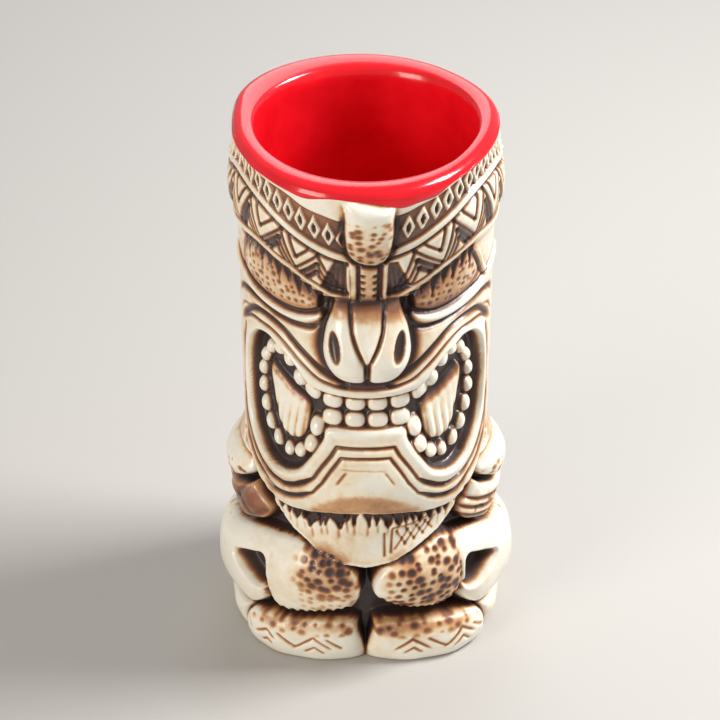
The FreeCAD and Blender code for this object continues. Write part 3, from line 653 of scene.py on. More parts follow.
def carve_beard(w):
    """The chin's underside, the notches between the spikes, and the plain bowl below them."""
    turn = np.abs(w.a)
    edge, low = spline(JAW, turn), spline(BEARD_LOW, turn)
    front = ramp(50, 44, turn)
    under = ramp(0.5, -0.7, w.z - edge) * front
    w.h -= 1.9 * under * ramp(low - 0.2, low + 1.0, w.z)
    # Painted shade: the chin's downward-facing lower face is darkened from the jaw edge up to an arc that
    # stands highest in the middle.
    underside_shade_top = edge + 8.6 * (1 - (turn / 20.0) ** 2).clip(0)
    w.stain_and_shade += 0.3 * ramp(underside_shade_top + 0.6, underside_shade_top - 2.5, w.z) * (w.z > edge) * ramp(20, 15, turn)
    beard = (w.z < edge) & (w.z > low) & (turn < JAW_END)
    w.label[beard] = ID["beard"]
    w.stain_and_shade -= 0.15 * beard
    for spike in SPIKES:
        beard_notch(w, *spike)
    gap = ramp(0.6, -0.6, w.z - low) * front * ramp(14.0, 20.0, w.v)
    w.h = w.h * (1 - gap) + np.minimum(w.h, 34.5 - w.base) * gap
    w.stain_and_shade += 0.9 * gap
    w.stain_and_shade += 0.12 * bell(w.z - low - 2.0, 3.0) * front * (w.z > low)
    w.stain_and_shade += 0.16 * beard * ramp(edge - 5.5, edge - 9, w.z) * ramp(12, -2, w.a)
    w.label[(w.z <= low) & (turn < JAW_END) & (w.z > 8)] = ID["vessel"]
    beard_lines(w)


def beard_notch(w, a, half, drop):
    """One dark flame-shaped notch under the jaw, with a scratch running on below it."""
    top = float(spline(JAW, np.array([abs(a)]))[0])
    at, pa, pz = w.near([(a, top - drop / 2)], drop / 2 + 3)
    fall = np.clip((top - pz) / drop, 0, 1)
    width = 1.7 * half * (1 - fall**1.8) * (1 + 0.25 * np.sin(1.9 * a + 1.3 * pz))
    lean = 0.35 * math.sin(2.7 * a) * (top - pz) / 3
    f = ramp(0.35, -0.35, np.abs(pa - a - lean) - width) * ramp(top + 0.3, top - 0.4, pz)
    f *= pz > top - drop
    w.sink(at, f, 1.5, 1.1)
    scratch = ((a + lean.mean(), top - drop + 1.5), (a * 0.96, top - drop - 3.5))
    w.cut(scratch, 0.4, 0.22, 0.24, taper=0.3)


def beard_lines(w):
    """The cross-hatched panel on the beard's right side."""
    w.cut(((5.8, 42), (5.8, 34)), 0.4, 0.55, 0.4)
    w.cut(((8.2, 43), (7.8, 35)), 0.4, 0.55, 0.4)
    for k in range(4):
        a = 9 + 3.0 * k
        w.cut(((a, 36.0 + 1.1 * k), (a + 4.5, 42.6 + 0.7 * k)), 0.35, 0.45, 0.35)
        w.cut(((a + 3.5, 37.0 + 1.1 * k), (a + 0.5, 42.5 + 0.6 * k)), 0.35, 0.45, 0.35)
    w.groove(((8.5, 43.6), (14, 44), (21, 45.4)), 0.35, 0.45, 0.35)


# --- hands, arms and feet (true coordinates) -------------------------------------------------------

FIST = {
    -1: pairs(-26.8, 38.2, -28.2, 33, -27.6, 22.3, -24.8, 15.6, -18.0, 14.8, -10.8, 16.6, -3.9, 19.6,
              -1.3, 24.5, -1.2, 29.7, -2.4, 33.6, -5.6, 36.3, -9.2, 38.1, -14.6, 39.7, -19.8, 40.0),
    1: pairs(2.0, 30.5, 2.2, 25.6, 7.0, 20.4, 13.6, 17.6, 19.2, 17.0, 24.8, 19.6, 27.0, 25.3, 27.8, 32.5,
             26.6, 38.6, 21.5, 40.6, 16.3, 39.6, 10.7, 37.8, 5.0, 35.4),
}
FOREARM = pairs(
    23.5, 37.9, 31, 37.8, 38, 35.5, 44.5, 32.8, 52, 31.5, 60, 30.0, 68, 27.5, 73, 23, 72, 15, 64, 10.5,
    54, 9.4, 44, 9.6, 36, 10.6, 30.5, 12.5, 25.4, 19, 23.5, 30,
)
HOLLOW = pairs(38.9, 25.2, 36, 28.0, 31.5, 30.2, 28.2, 31.2, 27.4, 26.5, 27.6, 21.4, 31.5, 20.6)
UPPER_ARM = pairs(
    28.8, 45.5, 31.0, 41.0, 35, 38.6, 41.5, 35.6, 47, 34.6, 56, 33.4, 66, 33.0, 72, 35.5, 73, 40, 66, 43.2,
    58, 44.0, 50, 44.8, 45, 46.0, 39, 49.0, 36.0, 51.4, 32.5, 48.5,
)
SHOULDER = pairs(
    38.0, 53.0, 43, 48.8, 48, 46.6, 56, 45.4, 64, 45.2, 70, 48, 71, 54, 65, 59, 56, 61.5, 48, 61.6,
    42, 59.6, 39.2, 56.5,
)
FOOT = pairs(
    2.1, -4, 2.1, 10.5, 2.8, 13.8, 8.6, 14.4, 16.8, 13.8, 24, 13.2, 30, 11.4, 33.0, 9.0, 34.5, 4.0,
    34.6, -4,
)
FOOT_LINES = (
    pairs(-29, 5, -25, 8, -22.3, 5.6), pairs(-26.5, 3.4, -24.6, 5, -23, 3.4), pairs(-22.5, 8.6, -17.2, 4.4),
    pairs(-18.5, 3.6, -13.2, 8.4, -8, 4.2), pairs(-15.6, 3.0, -12.8, 5.2, -9.8, 2.6),
    pairs(-10.5, 8.6, -5.6, 4.6), pairs(-32.5, 8, -29.6, 5.4),
    pairs(7, 4.2, 12, 8.4, 17, 4.0), pairs(9.5, 3.2, 12.2, 5.4, 14.8, 3.0), pairs(15.5, 8.4, 20.5, 4.4),
    pairs(19, 3.4, 24.5, 9.2, 28.6, 5.4), pairs(21.5, 3.2, 24.6, 6.2, 27, 3.4), pairs(27.5, 8.8, 32, 5),
)
HEEL = pairs(35.4, -4, 35.2, 4, 34.0, 9.6, 38, 9.0, 44, 8.2, 54, 7.8, 64, 8.2, 70, 7.0, 71, -4)


def limb(w, points, node, edge, height, side, stain_and_shade=0.0):
    """A limb left standing where the ground round it is cut away: rounded over, with a steep flank."""
    at, sd = w.region(mirror(points, side) if side else points, 9.0, true=True)[:2]
    body = np.clip(-sd / edge, 0, 1)
    value = height * (rounded(body) - 1) - 14.0 * ramp(-0.2, 1.3, sd)
    higher = (sd < 1.4) & (value > w.limb[at])
    w.limb[at[higher]] = value[higher]
    w.label[at[(sd < 0.4) & higher]] = ID[node]
    w.stain_and_shade[at[higher & (sd < 0)]] = stain_and_shade


def carve_body(w):
    """Everything below the jaw is ground, cut back from the hull, except where a limb stands."""
    w.limb = np.full(w.h.shape, -99.0)
    turn = np.abs(w.t)
    face = (np.abs(w.a) < 47) & (w.z > spline(BEARD_LOW, np.abs(w.a))) & (turn < 60)
    for side, word in WORDS:
        limb(w, HEEL, "heel_" + word, 4.0, 2.6, side, 0.1)
        limb(w, FOOT, "foot_" + word, 4.5, 2.4, side)
        limb(w, SHOULDER, "shoulder_" + word, 7.0, 3.0, side)
        limb(w, UPPER_ARM, "upper_arm_" + word, 4.5, 2.6, side, 0.5 if side < 0 else 0.15)
        limb(w, FOREARM, "forearm_" + word, 6.0, 3.2, side)
        limb(w, FIST[side], "fist_" + word, 7.0, 3.0, 0)
    depth = 33.4 + 3.0 * ramp(60, 84, turn) + 6.0 * ramp(50, 62, w.v) ** 2
    ground = np.minimum(depth - w.base, 0)
    low = w.v < 62
    bare = low & (w.limb < ground) & ~face
    body = np.maximum(w.limb, ground)
    put = low & (~face | (w.limb > w.h))
    w.h = np.where(put, body, w.h)
    # Painted shade on the bare ground cut back round the limbs: darkest on the front below level 50, much
    # lighter above 60, fading out between 58 and 76 mm round from the front.
    shade = (1 - ramp(58, 76, turn)) * (0.97 - 0.85 * ramp(50, 60, w.v))
    w.stain_and_shade[bare] = shade[bare]
    w.label[bare & (turn < 66)] = ID["vessel"]
    w.label[bare & (turn >= 66)] = ID["torso_back"]


def detail_body(w):
    for side, word in WORDS:
        at, sd = w.region(mirror(HOLLOW, side), 4.0, true=True)[:2]
        f = ramp(1.0, -1.4, sd)
        w.sink(at, f, 6.5, 0.7)
        scallops(w, side)
        spot_limbs(w, side, word)
    feet_marks(w)
    arm_bands(w)


def spot_limbs(w, side, word):
    """The brown dots and washes on one side's fist, shoulder, elbow and foot."""
    at, turn, level = w.cells("fist_" + word)
    left = ramp(21, 12, turn) * (0.35 + 0.65 * ramp(22, 33, level))
    patch = left if side < 0 else ramp(3, 9, turn)
    w.pits(at, patch, 2.5, 0.95, 0.38, 0.95)
    w.stain_and_shade[at] += (0.2 if side < 0 else 0.1) * patch
    at, turn, level = w.cells("shoulder_" + word)
    w.pits(at, ramp(58, 46, turn) * ramp(56, 50, level), 2.8, 0.85, 0.5, 0.8)
    at, turn, level = w.cells("forearm_" + word)
    elbow = ramp(44, 54, turn) * ramp(24, 30, level)
    w.pits(at, elbow, 2.9, 0.6, 0.2, 0.5)
    w.stain_and_shade[at] += 0.1 * elbow + 0.16 * ramp(17, 11, level)
    at, turn, level = w.cells("foot_" + word)
    w.pits(at, ramp(8.0, 10.5, level), 2.8, 0.9, 0.2, 0.6)
    w.stain_and_shade[at] += 0.3 * ramp(8.0, 12.5, level)


def scallops(w, side):
    """Knuckle notches along the underside of each fist."""
    ring = curve(FIST[int(side)], closed=True)
    spots = ring[(ring[:, 1] < 24) & (np.abs(ring[:, 0]) > 4)]
    step = max(1, len(spots) // 9)
    for a, z in spots[::step]:
        w.dome((a, z), (1.1, 2.2), -1.1, stain_and_shade=0.5, true=True)


def feet_marks(w):
    for line in FOOT_LINES:
        w.cut(line, 0.42, 0.55, 0.5, taper=0.15, true=True)


def arm_bands(w):
    for low in (36.6, 39.6, 42.6):
        line = ((29.5, low + 6.4), (36, low + 3.2), (44, low), (56, low - 1.2), (70, low - 1.5))
        w.groove(line, 0.7, 1.1, 0.55, true=True)
    zig = [(34 + 2.3 * k, 45.6 - 0.33 * k * 1.3 + (0.9 if k % 2 else -0.9) - 2.6) for k in range(9)]
    w.cut(zig, 0.3, 0.4, 0.35, true=True)
    facets = (pairs(-31, 44, -37, 39.5, -42, 42.5), pairs(-40, 48, -44, 40, -50, 36), pairs(-50, 44, -56, 38))
    for line in facets:
        w.cut(line, 1.1, 0.45, 0.1, true=True)


# --- nose, knob and tab ----------------------------------------------------------------------------


NOSE_RISE = pairs(
    98.9, 0.0, 99.4, 0.40, 100.6, 0.72, 103, 0.94, 105.5, 1.0, 109, 0.94, 113.5, 0.74, 118, 0.5, 121.5, 0.3,
    123.5, 0.0,
)
NOSE_HALF = pairs(
    98, 4.8, 99.6, 7.0, 101.5, 9.0, 104, 10.5, 107.5, 11.5, 112, 11.4, 116, 10.7, 121, 9.2, 125, 8.0,
)
NOSE_MIDDLE = 0.3
FOLD = pairs(4.4, 123.5, 4.0, 119, 3.6, 115.5, 2.5, 112, 1.0, 108.5, 0.25, 106.5, 0.0, 98.5)


KNOB = pairs(
    -4.4, 157.2, -4.7, 152, -5.0, 146, -4.4, 139.4, -1.6, 136.2, 2.8, 135.6, 5.6, 138.6, 6.5, 145, 6.3, 151,
    5.6, 157.0,
)
POCKET = pairs(4.6, 124.2, 9.2, 124.4, 12.2, 126.4, 10.2, 131, 8.0, 136.4, 4.6, 136.0)
SOCKET = pairs(4.5, 122.6, 12.0, 122.4, 13.2, 119.4, 10.8, 116.6, 6.6, 117.6)


def carve_nose(w):
    """The nose stands proud of the hull, so it is set out in true coordinates."""
    at, a, z = w.near([(-15, 96), (15, 125)], 0.5, True)
    across = np.abs(a - NOSE_MIDDLE)
    side = np.sign(a - NOSE_MIDDLE)
    half, rise = spline(NOSE_HALF, z), spline(NOSE_RISE, z)
    fold = np.interp(z, [p[1] for p in FOLD[::-1]], [p[0] for p in FOLD[::-1]])
    lobe = np.clip((across - fold) / (half - fold), -1, 1)
    is_lobe = lobe > 0
    nostril = (1 - np.abs(2 * lobe - 1) ** 2.3).clip(0) ** 0.5
    bridge = (1 - (across / np.maximum(fold, 0.3)) ** 2).clip(0) ** 0.5
    outer = (1 - np.clip(across / half, 0, 1) ** 3.0) ** 0.5
    value = 37.0 - w.base[at] + 9.0 * rise * outer * (0.80 + 0.20 * np.where(is_lobe, nostril, bridge))
    hit = (across < half) & (rise > 0) & (value > w.h[at])
    w.h[at[hit]] = value[hit]
    # Painted shade: the nose is darkened toward its top under the brow and a little along its sides.
    w.stain_and_shade[at[hit]] = (0.55 * ramp(116.5, 122.0, z) + 0.12 * ramp(0.75, 1.0, across / half))[hit]
    w.label[at[hit & ~is_lobe]] = ID["nose_bridge"]
    w.label[at[hit & is_lobe & (side < 0)]] = ID["nostril_left"]
    w.label[at[hit & is_lobe & (side > 0)]] = ID["nostril_right"]
    # Painted shadow along the nose's outer edge, which is also sunk a little as a groove.
    shadow = bell(across - half - 0.6, 1.4) * (z > 96) * (z < 121)
    w.stain_and_shade[at] += 0.7 * shadow * (across > half - 0.3)
    w.h[at] -= 0.7 * shadow * (across > half)


def carve_knob(w):
    at, sd, _, z = w.region(KNOB, 4.5)
    hit = sd < 0.4
    w.h[at[hit]] = 0.0
    w.stain_and_shade[at[hit]] = 0.0
    body = np.clip(-sd / 4.6, 0, 1)
    w.h[at] += 3.1 * rounded(body) * ramp(158.5, 152, z) ** 0.5
    rim = bell(sd - 0.5, 0.7) * ramp(153, 149, z)
    w.sink(at, rim, 0.8, 0.7)
    w.mark(at, sd, "forehead_knob")
    w.pits(at, ramp(-0.2, -1.2, sd) * ramp(153, 149, z), 2.15, 0.7, 0.22, 0.85)
    # Painted shade: the knob is darkened toward its lower part, below level 150.
    w.stain_and_shade[at] += 0.2 * ramp(0.2, -0.8, sd) * ramp(150, 138, z)


def carve_tab(w):
    """The notched tab under the knob, with a dark pocket on each side of it."""
    for side in SIDES:
        at, sd = w.region(mirror(POCKET, side), 3.0, smooth=False)[:2]
        pocket = ramp(0.3, -0.8, sd)
        w.sink(at, pocket, 1.3, 0.4)
        for k in range(3):
            low = (6.0 + 1.9 * k, 124.6 + 0.5 * k)
            high = (5.6 + 1.1 * k, 134.5 - 0.6 * k)
            w.cut(mirror((low, high), side), 0.35, 0.35, 0.25)
    at, sd = w.region(pairs(-4.2, 123.0, -4.2, 136, 5.6, 136, 5.6, 123.0), 3.0, smooth=False)[:2]
    w.h[at] = np.where(sd < 0, 0.0, w.h[at])
    w.stain_and_shade[at] = np.where(sd < 0, 0.05, w.stain_and_shade[at])
    w.h[at] += 1.4 * ramp(0.4, -0.5, sd)
    w.mark(at, sd, "brow_tab")
    w.cut(((-1.9, 123), (-1.9, 135)), 0.42, 1.2, 1.0)
    w.cut(((3.5, 123), (3.5, 135)), 0.6, 1.3, 1.1)
    for k in range(4):
        z = 125.0 + 2.3 * k
        w.cut(((-1.6, z + 0.2), (0.0, z - 0.3)), 0.42, 0.8, 0.75, taper=0.3)
        w.cut(((3.1, z + 0.2), (1.6, z - 0.3)), 0.42, 0.8, 0.75, taper=0.3)
    for side in SIDES:
        at, sd = w.region(mirror(SOCKET, side), 3.0)[:2]
        socket = ramp(0.8, -0.8, sd)
        w.sink(at, socket, 1.9, 0.85)


def nose_marks(w):
    """Nostril hollows and the folds down the nose, on the nose's own surface."""
    for side in SIDES:
        w.dome((NOSE_MIDDLE + side * 7.5, 111.0), (1.5, 4.6), -1.7, side * -10, stain_and_shade=1.25, true=True)
        line = [(NOSE_MIDDLE + side * p, q) for p, q in FOLD]
        w.groove(line, 0.5, 0.75, 0.6, taper=0.04, true=True)
    w.cut(((0.3, 106.5), (0.3, 98.5)), 0.55, 0.7, 0.6, true=True)


# --- building the meshes ---------------------------------------------------------------------------


RIM_HEIGHT = 2.2
FOOT_ROUND = 1.6
LEAST_RADIUS = 32.4
STAIN_ALL = 0.085
STAIN_AND_SHADE_SPREAD = ((0.8, 0.5), (3.5, 0.36), (9, 0.2))  # blur in cells, share
# How hollows darken: blur in cells, share, and the least and most depth that counts.
HOLLOWS = ((1.6, 0.75, -0.3, 0.8), (7, 0.16, -0.5, 3.0), (16, 0.07, -0.8, 3.0))


def finish_wall(w):
    """Radius, stain with painted shade, and normals of the whole outer surface."""
    edge = spline(GLAZE_EDGE, w.theta.ravel() * UNIT).reshape(w.shape)
    edge -= ramp(7.5, 10.0, np.abs(w.theta * UNIT))
    h = w.h.reshape(w.shape) * ramp(0.7, -0.4, w.level - edge)
    cliff = blur(ramp(0.35, 1.0, np.hypot(*np.gradient(h))), 1.0)
    h = blur(h, 0.5) * (1 - cliff) + blur(h, 1.5) * cliff
    over = np.clip((w.level - (HEIGHT - RIM_HEIGHT)) / RIM_HEIGHT, 0, 1)
    radius = w.hull + h - RIM_ROUND * (1 - np.sqrt(1 - over**2))
    radius = np.maximum(radius, LEAST_RADIUS)
    base = np.clip((FOOT_ROUND - w.level) / FOOT_ROUND, 0, 1)
    radius -= 1.2 * (1 - np.sqrt(1 - base**2))
    spots = w.stain_and_shade.reshape(w.shape)
    stain_and_shade = STAIN_ALL + sum(share * blur(spots, spread) for spread, share in STAIN_AND_SHADE_SPREAD)
    for spread, share, least, most in HOLLOWS:
        stain_and_shade += share * np.clip(blur(radius, spread) - radius, least, most)
    w.radius = radius
    w.tone = np.clip(stain_and_shade, 0.0, 1.0)
    w.points = np.stack([radius * np.sin(w.theta), -radius * np.cos(w.theta), w.level], -1)
    du = np.roll(w.points, -1, 1) - np.roll(w.points, 1, 1)
    normal = np.cross(du, np.gradient(w.points, axis=0))
    w.normals = normal / np.linalg.norm(normal, axis=-1, keepdims=True)


def clean_labels(w):
    """Cell labels, with single-cell crumbs given to their neighbours."""
    label = w.label.reshape(w.shape)
    for _ in range(3):
        left, right = np.roll(label, 1, 1), np.roll(label, -1, 1)
        up, down = np.roll(label, -1, 0), np.roll(label, 1, 0)
        lone = (label != left) & (label != right) | (label != up) & (label != down)
        label = np.where(lone & (left == up), left, np.where(lone & (right == down), right, label))
    return label[:-1, :]


def tile_mesh(w, cells, inner):
    """A closed shell over some cells of the wall: outer face, inner face and side walls."""
    i, j = np.nonzero(cells)
    cols = COLUMNS
    j1 = (j + 1) % cols
    outer = np.stack([i * cols + j, i * cols + j1, (i + 1) * cols + j1, (i + 1) * cols + j], 1)
    shift = ROWS * cols
    back = outer[:, [0, 3, 2, 1]] + shift
    below = np.zeros_like(cells)
    below[1:] = cells[:-1]
    above = np.zeros_like(cells)
    above[:-1] = cells[1:]
    sides = []
    for k, neighbour in enumerate((below, np.roll(cells, -1, 1), above, np.roll(cells, 1, 1))):
        open_edge = ~neighbour[i, j]
        a, b = outer[open_edge, k], outer[open_edge, (k + 1) % 4]
        sides.append(np.stack([b, a, a + shift, b + shift], 1))
    quads = np.vstack([outer, back] + sides)
    used, flat = np.unique(quads, return_inverse=True)
    quads = flat.reshape(quads.shape)
    core = np.stack([inner * np.sin(w.theta), -inner * np.cos(w.theta), w.level], -1)
    points = np.concatenate([w.points.reshape(-1, 3), core.reshape(-1, 3)])[used]
    radial = np.stack([-np.sin(w.theta), np.cos(w.theta), 0 * w.theta], -1)
    normals = np.concatenate([w.normals.reshape(-1, 3), radial.reshape(-1, 3)])[used]
    tone = np.concatenate([w.tone.ravel(), np.full(shift, 0.3)])[used]
    return points, quads, normals, tone, len(outer)


def make_object(name, points, quads, normals, tones, material, uv):
    mesh = bpy.data.meshes.new(name)
    mesh.vertices.add(len(points))
    mesh.vertices.foreach_set("co", (points / 1000.0).astype(np.float32).ravel())
    mesh.loops.add(quads.size)
    mesh.loops.foreach_set("vertex_index", quads.astype(np.int32).ravel())
    mesh.polygons.add(len(quads))
    mesh.polygons.foreach_set("loop_start", np.arange(0, quads.size, 4, dtype=np.int32))
    mesh.polygons.foreach_set("use_smooth", np.ones(len(quads), bool))
    mesh.update(calc_edges=True)
    mesh.validate()
    for key, values in tones.items():
        layer = mesh.attributes.new(key, "FLOAT", "POINT")
        layer.data.foreach_set("value", values.astype(np.float32))
    if uv is not None:
        layer = mesh.uv_layers.new(name="OFBake")
        layer.data.foreach_set("uv", uv.astype(np.float32).ravel())
    if normals is not None:
        mesh.normals_split_custom_set_from_vertices(normals)
    mesh.materials.append(material)
    obj = bpy.data.objects.new(name, mesh)
    bpy.context.scene.collection.objects.link(obj)
    return obj


# --- materials -------------------------------------------------------------------------------------


def principled(name):
    """A new node material: itself, its tree, its main shader and the object coordinates."""
    material = bpy.data.materials.new(name)
    material.use_nodes = True
    tree = material.node_tree
    coords = tree.nodes.new("ShaderNodeTexCoord").outputs["Object"]
    return material, tree, tree.nodes["Principled BSDF"], coords


def give(shader, **values):
    for key, value in values.items():
        shader.inputs[key.replace("_", " ")].default_value = value


def coloured(tree, value, stops, shader):
    """Base colour from a colour ramp with these (position, colour) stops."""
    colours = tree.nodes.new("ShaderNodeValToRGB")
    elements = colours.color_ramp.elements
    while len(elements) < len(stops):
        elements.new(0.5)
    for element, (place, colour) in zip(elements, stops):
        element.position = place
        element.color = colour + (1.0,)
    tree.links.new(value, colours.inputs["Fac"])
    tree.links.new(colours.outputs["Color"], shader.inputs["Base Color"])


def bumped(tree, height, strength, shader):
    bump = tree.nodes.new("ShaderNodeBump")
    give(bump, Strength=strength, Distance=0.0004)
    tree.links.new(height, bump.inputs["Height"])
    tree.links.new(bump.outputs["Normal"], shader.inputs["Normal"])


def scaled(tree, field, share, offset):
    return maths(tree, "ADD", maths(tree, "MULTIPLY", field, share), offset)


def noise(tree, coords, scale, detail=4.0):
    item = tree.nodes.new("ShaderNodeTexNoise")
    give(item, Scale=scale, Detail=detail, Roughness=0.55)
    tree.links.new(coords, item.inputs["Vector"])
    return item.outputs["Fac"]


def maths(tree, operation, a, b, clamp=False):
    item = tree.nodes.new("ShaderNodeMath")
    item.operation = operation
    item.use_clamp = clamp
    for socket, value in zip(item.inputs, (a, b)):
        if isinstance(value, (int, float)):
            socket.default_value = value
        else:
            tree.links.new(value, socket)
    return item.outputs[0]


CREAM_TO_BROWN = (
    (0.0, (0.89, 0.84, 0.72)), (0.12, (0.84, 0.71, 0.51)), (0.27, (0.60, 0.325, 0.14)),
    (0.45, (0.29, 0.105, 0.043)), (0.70, (0.080, 0.031, 0.018)), (1.0, (0.032, 0.016, 0.013)),
)
REDS = ((0.32, (0.68, 0.004, 0.010)), (0.68, (0.86, 0.010, 0.020)))


def ceramic():
    """Cream casting with a brown stain in its hollows and painted shade carried in the same stain field,
    under a thin clear glaze.
    """
    material, tree, shader, coords = principled("stained_ceramic")
    stain_and_shade = tree.nodes.new("ShaderNodeAttribute")
    stain_and_shade.attribute_name = "stain_and_shade"
    value = stain_and_shade.outputs["Fac"]
    grain = noise(tree, coords, 420.0, 3.0)
    fields = ((noise(tree, coords, 90.0), 0.34), (grain, 0.22), (noise(tree, coords, 28.0, 2.0), 0.30))
    for field, share in fields:
        centred = maths(tree, "SUBTRACT", field, 0.5)
        value = maths(tree, "ADD", value, maths(tree, "MULTIPLY", centred, share), field is fields[-1][0])
    coloured(tree, value, CREAM_TO_BROWN, shader)
    tree.links.new(scaled(tree, value, 0.24, 0.29), shader.inputs["Roughness"])
    give(shader, Coat_Weight=0.35, Coat_Roughness=0.12)
    bumped(tree, grain, 0.22, shader)
    return material


def red_glaze():
    """Thick glossy glaze, deeper in colour where it pooled, with a faint orange-peel surface."""
    material, tree, shader, coords = principled("red_glaze")
    coloured(tree, noise(tree, coords, 55.0, 3.0), REDS, shader)
    peel = noise(tree, coords, 240.0, 2.0)
    tree.links.new(scaled(tree, peel, 0.12, 0.14), shader.inputs["Roughness"])
    give(shader, Coat_Weight=0.35, Coat_Roughness=0.03, Specular_IOR_Level=0.35)
    bumped(tree, peel, 0.12, shader)
    return material


# --- the glaze -------------------------------------------------------------------------------------

GLAZE_EDGE = pairs(
    -113, 157.6, -60, 157.8, -50, 158.3, -40, 158.6, -30, 157.3, -22, 157.0, -15, 156.2, -10, 157.2,
    -5, 157.4, 0, 156.4, 4, 155.2, 8, 154.6, 12, 155.2, 16, 155.8, 20, 157, 25, 157.8, 30, 158.2, 40, 158.8,
    50, 158.4, 60, 157.9, 113, 157.6,
)


GLAZE_THICK = 0.45
GLAZE_SUNK = 0.12  # how far the glaze's lower edge starts inside the wall
BORE = 29.3
ROLL = 3.3
LIP_DROP = 5.0


def outer_rim(theta, z):
    return spline(NECK, z) + prow(theta, z) + flare(theta, z)


def wall_reach(turn, z, radius):
    """A round wall's radius at one turn, with the reach of the prow."""
    return radius + float(prow(np.array([turn]), np.array([z]))[0])


def glaze_profile(turn):
    """Section of the glaze: up the outer wall, over the rolled rim, down the bore and back behind."""
    edge = float(spline(GLAZE_EDGE, np.array([turn * UNIT]))[0])
    edge += 0.25 * math.sin(9 * turn + 1) + 0.18 * math.sin(23 * turn)
    outer = [float(outer_rim(np.array([turn]), np.array([z]))[0]) for z in (edge, HEIGHT)]
    top = outer[1]
    out = []
    for k, z in enumerate(np.linspace(edge, HEIGHT - RIM_HEIGHT, 8)):
        r = float(outer_rim(np.array([turn]), np.array([z]))[0])
        out.append((r + GLAZE_THICK * math.sqrt(min(1.0, k / 3.0)) - GLAZE_SUNK, z))
    shoulder = ROLL + GLAZE_THICK - GLAZE_SUNK
    for angle in quarter(10):
        out.append((top - ROLL + shoulder * math.cos(angle), HEIGHT - RIM_HEIGHT + 2.4 * math.sin(angle)))
    bore = wall_reach(turn, HEIGHT - LIP_DROP, BORE)
    inward = min(bore + 2.2, top - 3.5)
    for angle in np.linspace(math.pi / 2, math.pi, 12)[1:]:
        level = HEIGHT - LIP_DROP + 5.15 * math.sin(angle)
        out.append((inward + (inward - bore) * math.cos(angle), level))
    out += [(wall_reach(turn, z, BORE), z) for z in np.linspace(HEIGHT - 6.5, 12.0, 40)]
    for angle in quarter(10):
        out.append((BORE - 6 + 6 * math.cos(angle), 12.0 - 5.6 * math.sin(angle)))
    out += [(18.0, 6.4), (12.0, 6.4), (6.0, 6.4), (0.4, 6.4)]
    out += [(0.4, 5.6), (8.0, 5.6), (18.0, 5.6), (24.0, 5.6), (30.2, 11.5)]
    out += [(wall_reach(turn, z, BORE + 1), z) for z in np.linspace(14.0, HEIGHT - 8.0, 12)]
    return out + [(top - ROLL, HEIGHT - 3.5), (top - 1.0, HEIGHT - 3.6), (outer[0] - 0.5, edge)]


def quarter(count):
    return np.linspace(0, math.pi / 2, count)[1:]


def build(w):
    stained_and_shaded = ceramic()
    labels = clean_labels(w)
    core = np.full(w.shape, CORE)
    core = np.minimum(core + prow(w.theta, w.level), w.radius - 0.9)
    brim = ramp(154.0, 159.0, w.level)
    core = core * (1 - brim) + (w.radius - 0.35) * brim
    for name in NODES:
        cells = labels == ID[name]
        points, quads, normals, tone, faces = tile_mesh(w, cells, core)
        uv = tile_uv(points, quads, faces)
        obj = make_object(name + "_skin", points, quads, normals, {"stain_and_shade": tone}, stained_and_shaded, uv)
        place(obj, name, "stained_ceramic")
    place(lathe("vessel_cup", cup_profile, stained_and_shaded), "vessel", "stained_ceramic")
    place(lathe("lining_glaze_skin", glaze_profile, red_glaze(), 360), "lining_glaze", "red_glaze")


def place(obj, name, slot):
    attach(obj, "root")
    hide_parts(name)


def lathe(name, profile_at, material, count=240):
    """A closed ring of sections round the axis; profile_at(turn) gives a section's (radius, level)."""
    turns = np.linspace(-math.pi, math.pi, count, endpoint=False)
    radius, level = np.moveaxis(np.array([profile_at(turn) for turn in turns]), 2, 0)
    points = np.stack([radius * np.sin(turns)[:, None], -radius * np.cos(turns)[:, None], level], -1)
    n = points.shape[1]
    i = np.arange(n)
    j = (i + 1) % n
    quads = []
    for k in range(count):
        a, b = k * n, ((k + 1) % count) * n
        quads.append(np.stack([a + i, b + i, b + j, a + j], 1))
    tones = {"stain_and_shade": np.full(count * n, 0.12)}
    return make_object(name, points.reshape(-1, 3), np.vstack(quads), None, tones, material, None)


def cup_profile(turn):
    """The plain cup inside the carving: its wall, its floor and the flat base with a shallow hollow."""
    out = [(0.3, 0.9), (24.0, 0.9), (25.5, 0.2), (26.5, 0.0), (31.0, 0.0)]
    out += [(wall_reach(turn, z, 31.4), z) for z in np.linspace(1.5, 153.0, 30)]
    out += [(wall_reach(turn, z, 29.9), z) for z in np.linspace(153.0, 14.0, 28)]
    return out + [(29.0, 10.0), (26.5, 6.9), (23.0, 6.0), (0.3, 6.0)]


def tile_uv(points, quads, faces):
    """Unrolled coordinates of the outer face; the hidden faces share a thin strip under it."""
    turn = np.arctan2(points[:, 0], -points[:, 1])
    if np.abs(turn).min() > 0.6:
        turn = turn % (2 * math.pi)
    turn, level = turn[quads], points[quads, 2]
    wraps = np.ptp(turn, axis=1) > math.pi
    turn[wraps] += np.where(turn[wraps] < 0, 2 * math.pi, 0)
    u = (turn - turn.min()) / np.ptp(turn)
    v = (level - level.min()) / np.ptp(level)
    v[:faces] = 0.04 + 0.955 * v[:faces]
    v[faces:] *= 0.015
    return np.stack([u, v], -1)


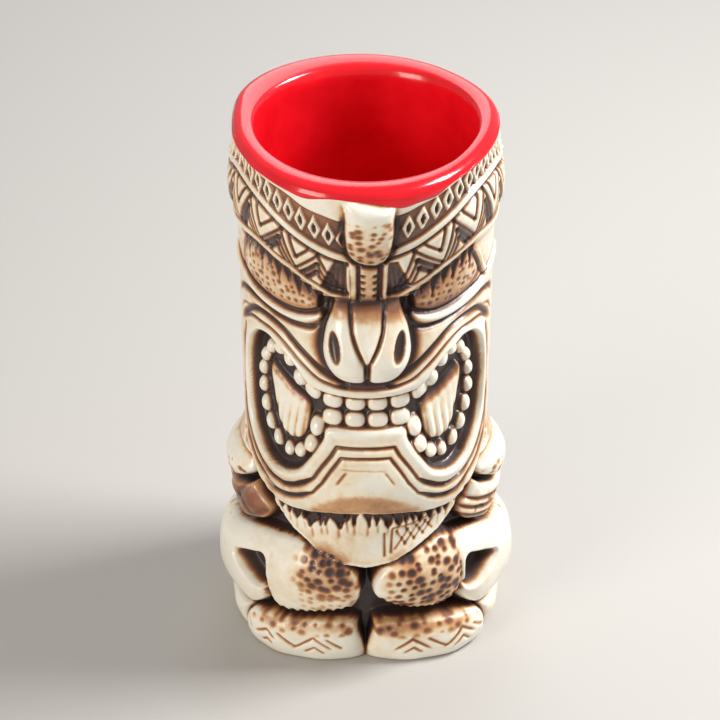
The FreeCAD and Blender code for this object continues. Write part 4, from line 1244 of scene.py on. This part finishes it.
def make_stage():
    size = 1.6
    corners = [(-size, -size, 0), (size, -size, 0), (size, size, 0), (-size, size, 0)]
    mesh = bpy.data.meshes.new("floor")
    mesh.from_pydata(corners, [], [(0, 1, 2, 3)])
    material, _, shader, _ = principled("pale_floor")
    give(shader, Base_Color=(0.50, 0.475, 0.44, 1.0), Roughness=0.6)
    mesh.materials.append(material)
    floor = bpy.data.objects.new("floor", mesh)
    bpy.context.scene.collection.objects.link(floor)
    world = bpy.data.worlds.new("studio")
    world.use_nodes = True
    give(world.node_tree.nodes["Background"], Color=(0.86, 0.89, 0.93, 1.0), Strength=0.42)
    bpy.context.scene.world = world
    bpy.context.scene.view_settings.view_transform = "Standard"
    lamp("key", (0.55, 0.10, 0.70), 0.30, 10.0, (0.97, 0.98, 1.0))
    lamp("fill", (-0.60, -0.55, 0.35), 0.35, 3.8, (1.0, 0.93, 0.84))
    lamp("back", (0.0, 0.75, 0.55), 0.5, 1.6, (1.0, 1.0, 1.0))


def lamp(name, place, size, power, colour):
    light = bpy.data.lights.new(name, "AREA")
    light.size = size
    light.energy = power
    light.color = colour
    obj = bpy.data.objects.new(name, light)
    obj.location = place
    obj.rotation_euler = (Vector((0, 0, 0.08)) - Vector(place)).to_track_quat("-Z", "Y").to_euler()
    bpy.context.scene.collection.objects.link(obj)


def make_camera():
    data = bpy.data.cameras.new("camera")
    data.lens = 120.0
    data.sensor_width = 36.0
    data.clip_start = 0.01
    data.clip_end = 10.0
    camera = bpy.data.objects.new("camera", data)
    pitch = math.radians(33.0)
    yaw = math.radians(0.167)
    place = Vector((0.0, -0.7 * math.cos(pitch), 0.08 + 0.7 * math.sin(pitch)))
    camera.location = place
    camera.rotation_euler = (math.pi / 2 - pitch, 0.0, yaw)
    bpy.context.scene.collection.objects.link(camera)
    bpy.context.scene.camera = camera


def carve(w):
    carve_headband(w)
    face_labels(w)
    carve_eyes(w)
    carve_lids(w)
    carve_lips(w)
    carve_beard(w)
    carve_mouth(w)
    carve_body(w)
    detail_body(w)
    carve_tab(w)
    carve_knob(w)
    carve_nose(w)
    nose_marks(w)


wall = Wall()
carve(wall)
finish_wall(wall)
build(wall)
make_stage()
make_camera()
